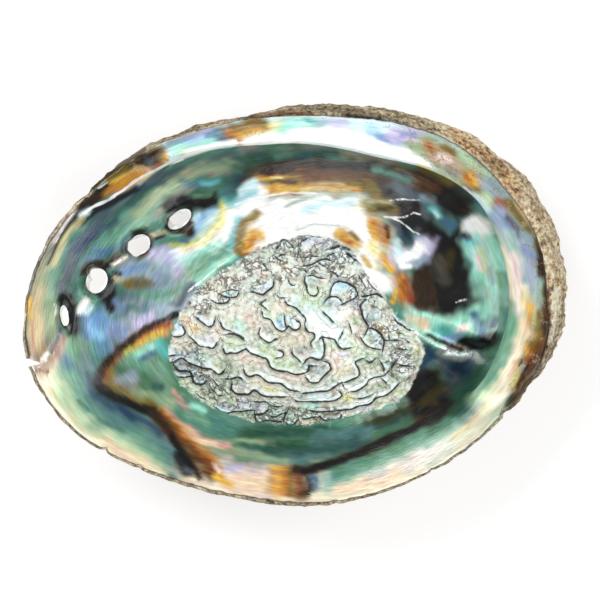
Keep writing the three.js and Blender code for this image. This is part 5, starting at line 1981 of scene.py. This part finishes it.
def scarGroup():
    look = scarLook
    group, given = startGroup(
        "scarPads", {"Tint": "Color", "First": "Vector", "Second": "Vector", "Crumbs": "Float"},
        {"Colour": "Color", "Line": "Float", "Grain": "Float"})
    tint, first, second, crumbly = given[:4]
    where = objectPlace(group)
    wobble = noiseOf(group, where, *look["wobbleNoise"])[0]
    clouds = noiseOf(group, where, *look["cloudNoise"])
    grain = noiseOf(group, where, *look["grainNoise"])[0]

    # nearest line, and the strongest painted highlight and painted shade of all lines
    nearest = light = paintedShade = None
    for gap in [*parts(group, first), *parts(group, second)]:
        away = calc(group, "ABSOLUTE", gap)
        nearest = away if nearest is None else calc(group, "MINIMUM", nearest, away)
        bands = []
        for name, other in (("light", light), ("paintedShade", paintedShade)):
            start, full, end, endFull = look[name]
            band = times(group, smoothStep(group, gap, start, full), smoothStep(group, gap, end, endFull))
            bands.append(band if other is None else larger(group, other, band))
        light, paintedShade = bands
    reach = scaled(group, wobble, *look["lineReach"])
    lineFrom, lineTo = [times(group, reach, share) for share in look["lineEdge"]]
    line = rest(group, smoothStep(group, nearest, lineFrom, lineTo))

    # crumbs between cracks
    bent = blend(group, "LINEAR_LIGHT", look["crumbBend"], where, clouds[1])
    cellsAt = {"Vector": bent, "Scale": look["crumbScale"], "Randomness": 1.0}
    crumbs = addNode(group, "ShaderNodeTexVoronoi", cellsAt).outputs["Color"]
    cells = addNode(group, "ShaderNodeTexVoronoi", cellsAt, feature="DISTANCE_TO_EDGE").outputs["Distance"]
    inCrumbs = smoothStep(group, crumbly, *look["crumbly"])
    broken = times(group, smoothStep(group, clouds[0], *look["broken"]), inCrumbs)
    cracks = smoothStep(group, cells, scaled(group, wobble, *look["crackWidth"]), look["crackEdge"])
    cracks = times(group, cracks, broken)
    crown = times(group, smoothStep(group, cells, *look["crown"]), inCrumbs)
    hues = ramp(group, parts(group, crumbs)[0], (0.10, "grey"), (0.30, "ice"), (0.45, "bone"),
                (0.60, "blush"), (0.75, "seaMist"), (0.90, "white"))

    ground = blend(group, "SOFT_LIGHT", look["hues"], tint, ramp(
        group, clouds[0], (0.32, "seaMist"), (0.44, "ice"), (0.50, "bone"), (0.58, "blush"),
        (0.68, "greyBlue")))
    ground = blend(group, "MIX", times(group, crown, look["crumbHues"]), ground, hues)
    # painted highlight: the pad's side of each line is lightened towards ice
    paintedHighlight = times(group, light, scaled(group, clouds[0], *look["paintedHighlight"]))
    ground = blend(group, "MIX", paintedHighlight, ground, "ice")
    fine = blend(group, "OVERLAY", look["grain"], ground, ramp(
        group, grain, (0.34, (0.18, 0.18, 0.17)), (0.50, (0.50, 0.50, 0.48)), (0.64, (0.82, 0.82, 0.80))))
    specks = smoothStep(group, grain, *look["specks"])
    specks = times(group, specks, scaled(group, crumbly, *look["speckShare"]))
    dark = larger(group, times(group, cracks, look["cracks"]), times(group, specks, look["speckDark"]))
    # painted shade before each pad's front darkens the colour, together with the cracks and specks
    dark = larger(group, dark, times(group, paintedShade, times(group, wobble, look["paintedShadeDark"])))
    dim = blend(group, "MIX", dark, fine, look["darkTint"])
    # the dark front line, partly a stain and partly a painted shadow under the pad's step
    colour = blend(group, "MIX", times(group, line, look["line"]), dim, look["lineTint"])
    return endGroup(group, colour, larger(group, line, times(group, dark, look["darkAsLine"])), grain)


# rough crust: grains over the painted tint on the side, rusty and olive bands on the back
crustLook = {
    "grainNoise": (800.0, 5.0, 0.7), "blotNoise": (90.0, 3.0), "blotBend": 0.6, "bandWidth": 0.55,
    "grains": 0.9, "streaks": 0.55, "backGrains": 0.6, "sideFrom": (0.010, 0.022),
    "lime": (0.56, 0.64), "limeShare": (-0.5, 0.7), "limeTint": (0.62, 0.56, 0.46, 1),
    "moss": (0.44, 0.36), "mossShare": 0.25, "mossTint": (0.14, 0.14, 0.07, 1),
}


def crustGroup(silk):
    look = crustLook
    group, given = startGroup(
        "crust", {"Tint": "Color", "Run": "Vector"}, {"Colour": "Color", "Grain": "Float"})
    tint, run = given[:2]
    where = objectPlace(group)
    grains = noiseOf(group, where, *look["grainNoise"])[0]
    blots = noiseOf(group, where, *look["blotNoise"], bend=look["blotBend"])[0]
    bands = useGroup(group, silk, {"Run": run, "Width": look["bandWidth"]})
    specks = ramp(group, grains, (0.36, (0.02, 0.016, 0.012)), (0.45, (0.30, 0.285, 0.26)),
                  (0.52, (0.54, 0.53, 0.51)), (0.62, (0.90, 0.89, 0.86)))
    streaks = ramp(group, bands[1], (0.36, 0.12), (0.5, 0.5), (0.62, 0.8))
    side = blend(group, "OVERLAY", look["grains"], tint, specks)
    side = blend(group, "OVERLAY", look["streaks"], side, streaks)
    back = ramp(group, bands[0], (0.34, (0.06, 0.05, 0.025)), (0.44, (0.20, 0.11, 0.05)),
                (0.52, (0.36, 0.15, 0.08)), (0.60, (0.40, 0.26, 0.14)), (0.70, (0.56, 0.43, 0.30)))
    back = blend(group, "OVERLAY", look["backGrains"], back, specks)
    onSide = smoothStep(group, parts(group, where)[2], *look["sideFrom"])
    lime = times(group, smoothStep(group, blots, *look["lime"]), scaled(group, onSide, *look["limeShare"]))
    grown = blend(group, "MIX", lime, blend(group, "MIX", onSide, back, side), look["limeTint"])
    moss = times(group, smoothStep(group, blots, *look["moss"]), look["mossShare"])
    return endGroup(group, blend(group, "MIX", moss, grown, look["mossTint"]), grains)


# finish: masks between the pearl, the scar and the crust, their gloss and their bump
finish = {
    "frayNoise": (450.0, 4.0), "fray": (3.0, -1.5), "scar": (0.1, 0.9), "crustFray": 0.45,
    "crust": (-0.15, 0.25), "rimFray": 0.3, "rimLine": (0.05, 0.45), "rimDark": 0.65,
    "blotNoise": (170.0, 1.0), "haloFray": 0.5,
    "haloBlots": 6.0, "halo": (4.9, 3.2), "haloDark": 0.95, "paintedBrightHoleWall": (0.5, 0.36), "lineFray": 0.2,
    "whiteLineAndHighlight": (0.22, -0.12), "lineShare": (1.4, 0.1), "roughness": 0.24, "scarRougher": 0.16,
    "crustRougher": 0.6, "metallic": 0.1, "specular": 0.3, "coat": 0.14, "coatRoughness": 0.12,
    "silkWidth": 1.4, "grooves": -0.25, "pads": 0.22, "grains": 1.1, "ripples": 0.12,
}


def shellMaterial():
    material = bpy.data.materials.new("pearlAndCrust")
    material.use_nodes = True
    tree = material.node_tree
    tree.nodes.clear()
    look = finish
    silk = silkGroup()
    flowing = read(tree, "flowRun", "Vector")
    pearl = useGroup(tree, pearlGroup(silk), {
        "Tint": read(tree, "pearl", "Color"), "Run": flowing, "Grit": read(tree, "grit")})
    pads = useGroup(tree, scarGroup(), {
        "Tint": read(tree, "scarTint", "Color"), "First": read(tree, "padsA", "Vector"),
        "Second": read(tree, "padsB", "Vector"), "Crumbs": read(tree, "crumbs")})
    rough = useGroup(tree, crustGroup(silk), {
        "Tint": read(tree, "crustTint", "Color"), "Run": read(tree, "growthRun", "Vector")})
    threads = useGroup(tree, silk, {"Run": flowing, "Width": look["silkWidth"]})["Threads"]

    # masks, with uneven borders; the walls of the holes are painted white, painted light standing in for the
    # bright floor seen through them, and the fine white lines carry painted highlights
    where = objectPlace(tree)
    fray = scaled(tree, noiseOf(tree, where, *look["frayNoise"])[0], *look["fray"])
    blots = noiseOf(tree, where, *look["blotNoise"])[0]
    edge, gap = read(tree, "crustEdge"), read(tree, "holeGap")
    scarMask = smoothStep(tree, plus(tree, read(tree, "scarDepth"), fray), *look["scar"])
    crustMask = smoothStep(tree, scaled(tree, fray, look["crustFray"], edge), *look["crust"])
    rimLine = calc(tree, "ABSOLUTE", scaled(tree, fray, look["rimFray"], edge))
    rimDark = times(tree, rest(tree, smoothStep(tree, rimLine, *look["rimLine"])), look["rimDark"])
    halo = scaled(tree, blots, look["haloBlots"], scaled(tree, fray, look["haloFray"], gap))
    halo = times(tree, smoothStep(tree, halo, *look["halo"]), look["haloDark"])
    paintedBrightHoleWall = smoothStep(tree, gap, *look["paintedBrightHoleWall"])
    fine = smoothStep(tree, scaled(tree, fray, look["lineFray"], read(tree, "whiteLineAndHighlightGap")), *look["whiteLineAndHighlight"])
    fine = times(tree, fine, scaled(tree, blots, *look["lineShare"]))

    colour = pearl["Colour"]
    for share, over in (
        (scarMask, pads["Colour"]), (halo, "black"), (fine, "white"), (crustMask, rough["Colour"]),
        (rimDark, "umber"), (paintedBrightHoleWall, "white"),
    ):
        colour = blend(tree, "MIX", share, colour, over)

    smooth = rest(tree, crustMask)
    inScar = times(tree, scarMask, smooth)
    roughness = scaled(tree, inScar, look["scarRougher"], look["roughness"])
    roughness = scaled(tree, crustMask, look["crustRougher"], roughness)
    height = None
    for relief, strength, mask in (
        (pads["Line"], look["grooves"], inScar), (pads["Grain"], look["pads"], inScar),
        (rough["Grain"], look["grains"], crustMask), (threads, look["ripples"], smooth),
    ):
        part = times(tree, times(tree, relief, strength), mask)
        height = part if height is None else plus(tree, height, part)
    bump = addNode(tree, "ShaderNodeBump", {"Height": height, "Strength": 1.0, "Distance": mm})

    shader = addNode(tree, "ShaderNodeBsdfPrincipled", {
        "Base Color": colour, "Roughness": roughness, "Metallic": times(tree, smooth, look["metallic"]),
        "Specular IOR Level": look["specular"], "Coat Weight": times(tree, smooth, look["coat"]),
        "Coat Roughness": look["coatRoughness"], "Normal": bump.outputs[0],
    })
    addNode(tree, "ShaderNodeOutputMaterial", {0: shader.outputs[0]})
    return material


creaseAngle = 55  # degrees; edges sharper than this stay sharp


def finishShell():
    shell.data.materials.clear()
    shell.data.materials.append(shellMaterial())
    bpy.ops.object.select_all(action="DESELECT")
    shell.select_set(True)
    bpy.context.view_layer.objects.active = shell
    bpy.ops.object.shade_smooth_by_angle(angle=np.radians(creaseAngle))
    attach(shell, "root")
    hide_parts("shell")
    print("shell finished")


finishShell()

# floor, camera and lights, in metres and watts; a light is its place, size and power
studio = {
    "floor": 4.0, "floorGrey": 0.42, "floorGlow": 0.6, "floorRoughness": 0.9, "sky": 0.38,
    "cameraHeight": 1.6, "seen": 0.1654, "cameraX": 0.0011, "cameraY": 0.00124, "rim": 0.032, "sensor": 36,
    "farthest": 20,
    "lights": {
        "leftBox": ((-0.6, 0.6, 0.9), 0.7, 10),
        "rightBox": ((0.7, 0.1, 0.9), 0.6, 4.4),
        "frontBox": ((0.0, -0.8, 0.8), 0.6, 4.4),
    },
}


def addFloor():
    bpy.ops.object.select_all(action="DESELECT")
    bpy.ops.mesh.primitive_plane_add(size=studio["floor"])
    floor = bpy.context.object
    floor.name = "floor"
    material = bpy.data.materials.new("paleFloor")
    material.use_nodes = True
    grey = studio["floorGrey"]
    look = {"Base Color": (grey, grey, grey, 1), "Roughness": studio["floorRoughness"],
            "Emission Color": (1, 1, 1, 1), "Emission Strength": studio["floorGlow"]}
    for socket, value in look.items():
        material.node_tree.nodes["Principled BSDF"].inputs[socket].default_value = value
    floor.data.materials.append(material)


def addCamera():
    height = studio["rim"] + studio["cameraHeight"]
    bpy.ops.object.camera_add(location=(studio["cameraX"], studio["cameraY"], height), rotation=(0, 0, 0))
    camera = bpy.context.object
    camera.data.sensor_width = studio["sensor"]
    camera.data.lens = studio["sensor"] * studio["cameraHeight"] / studio["seen"]
    camera.data.clip_end = studio["farthest"]
    bpy.context.scene.camera = camera


def addLights():
    for name, (spot, size, power) in studio["lights"].items():
        bpy.ops.object.light_add(type="AREA", location=spot)
        light = bpy.context.object
        light.name = name
        light.data.size = size
        light.data.energy = power
        light.rotation_mode = "QUATERNION"
        light.rotation_quaternion = Vector(spot).to_track_quat("Z", "Y")
    world = bpy.data.worlds.new("softSky")
    world.use_nodes = True
    world.node_tree.nodes["Background"].inputs["Color"].default_value = (1, 1, 1, 1)
    world.node_tree.nodes["Background"].inputs["Strength"].default_value = studio["sky"]
    bpy.context.scene.world = world
    bpy.context.scene.view_settings.view_transform = "Standard"


addFloor()
addCamera()
addLights()
print("studio set")
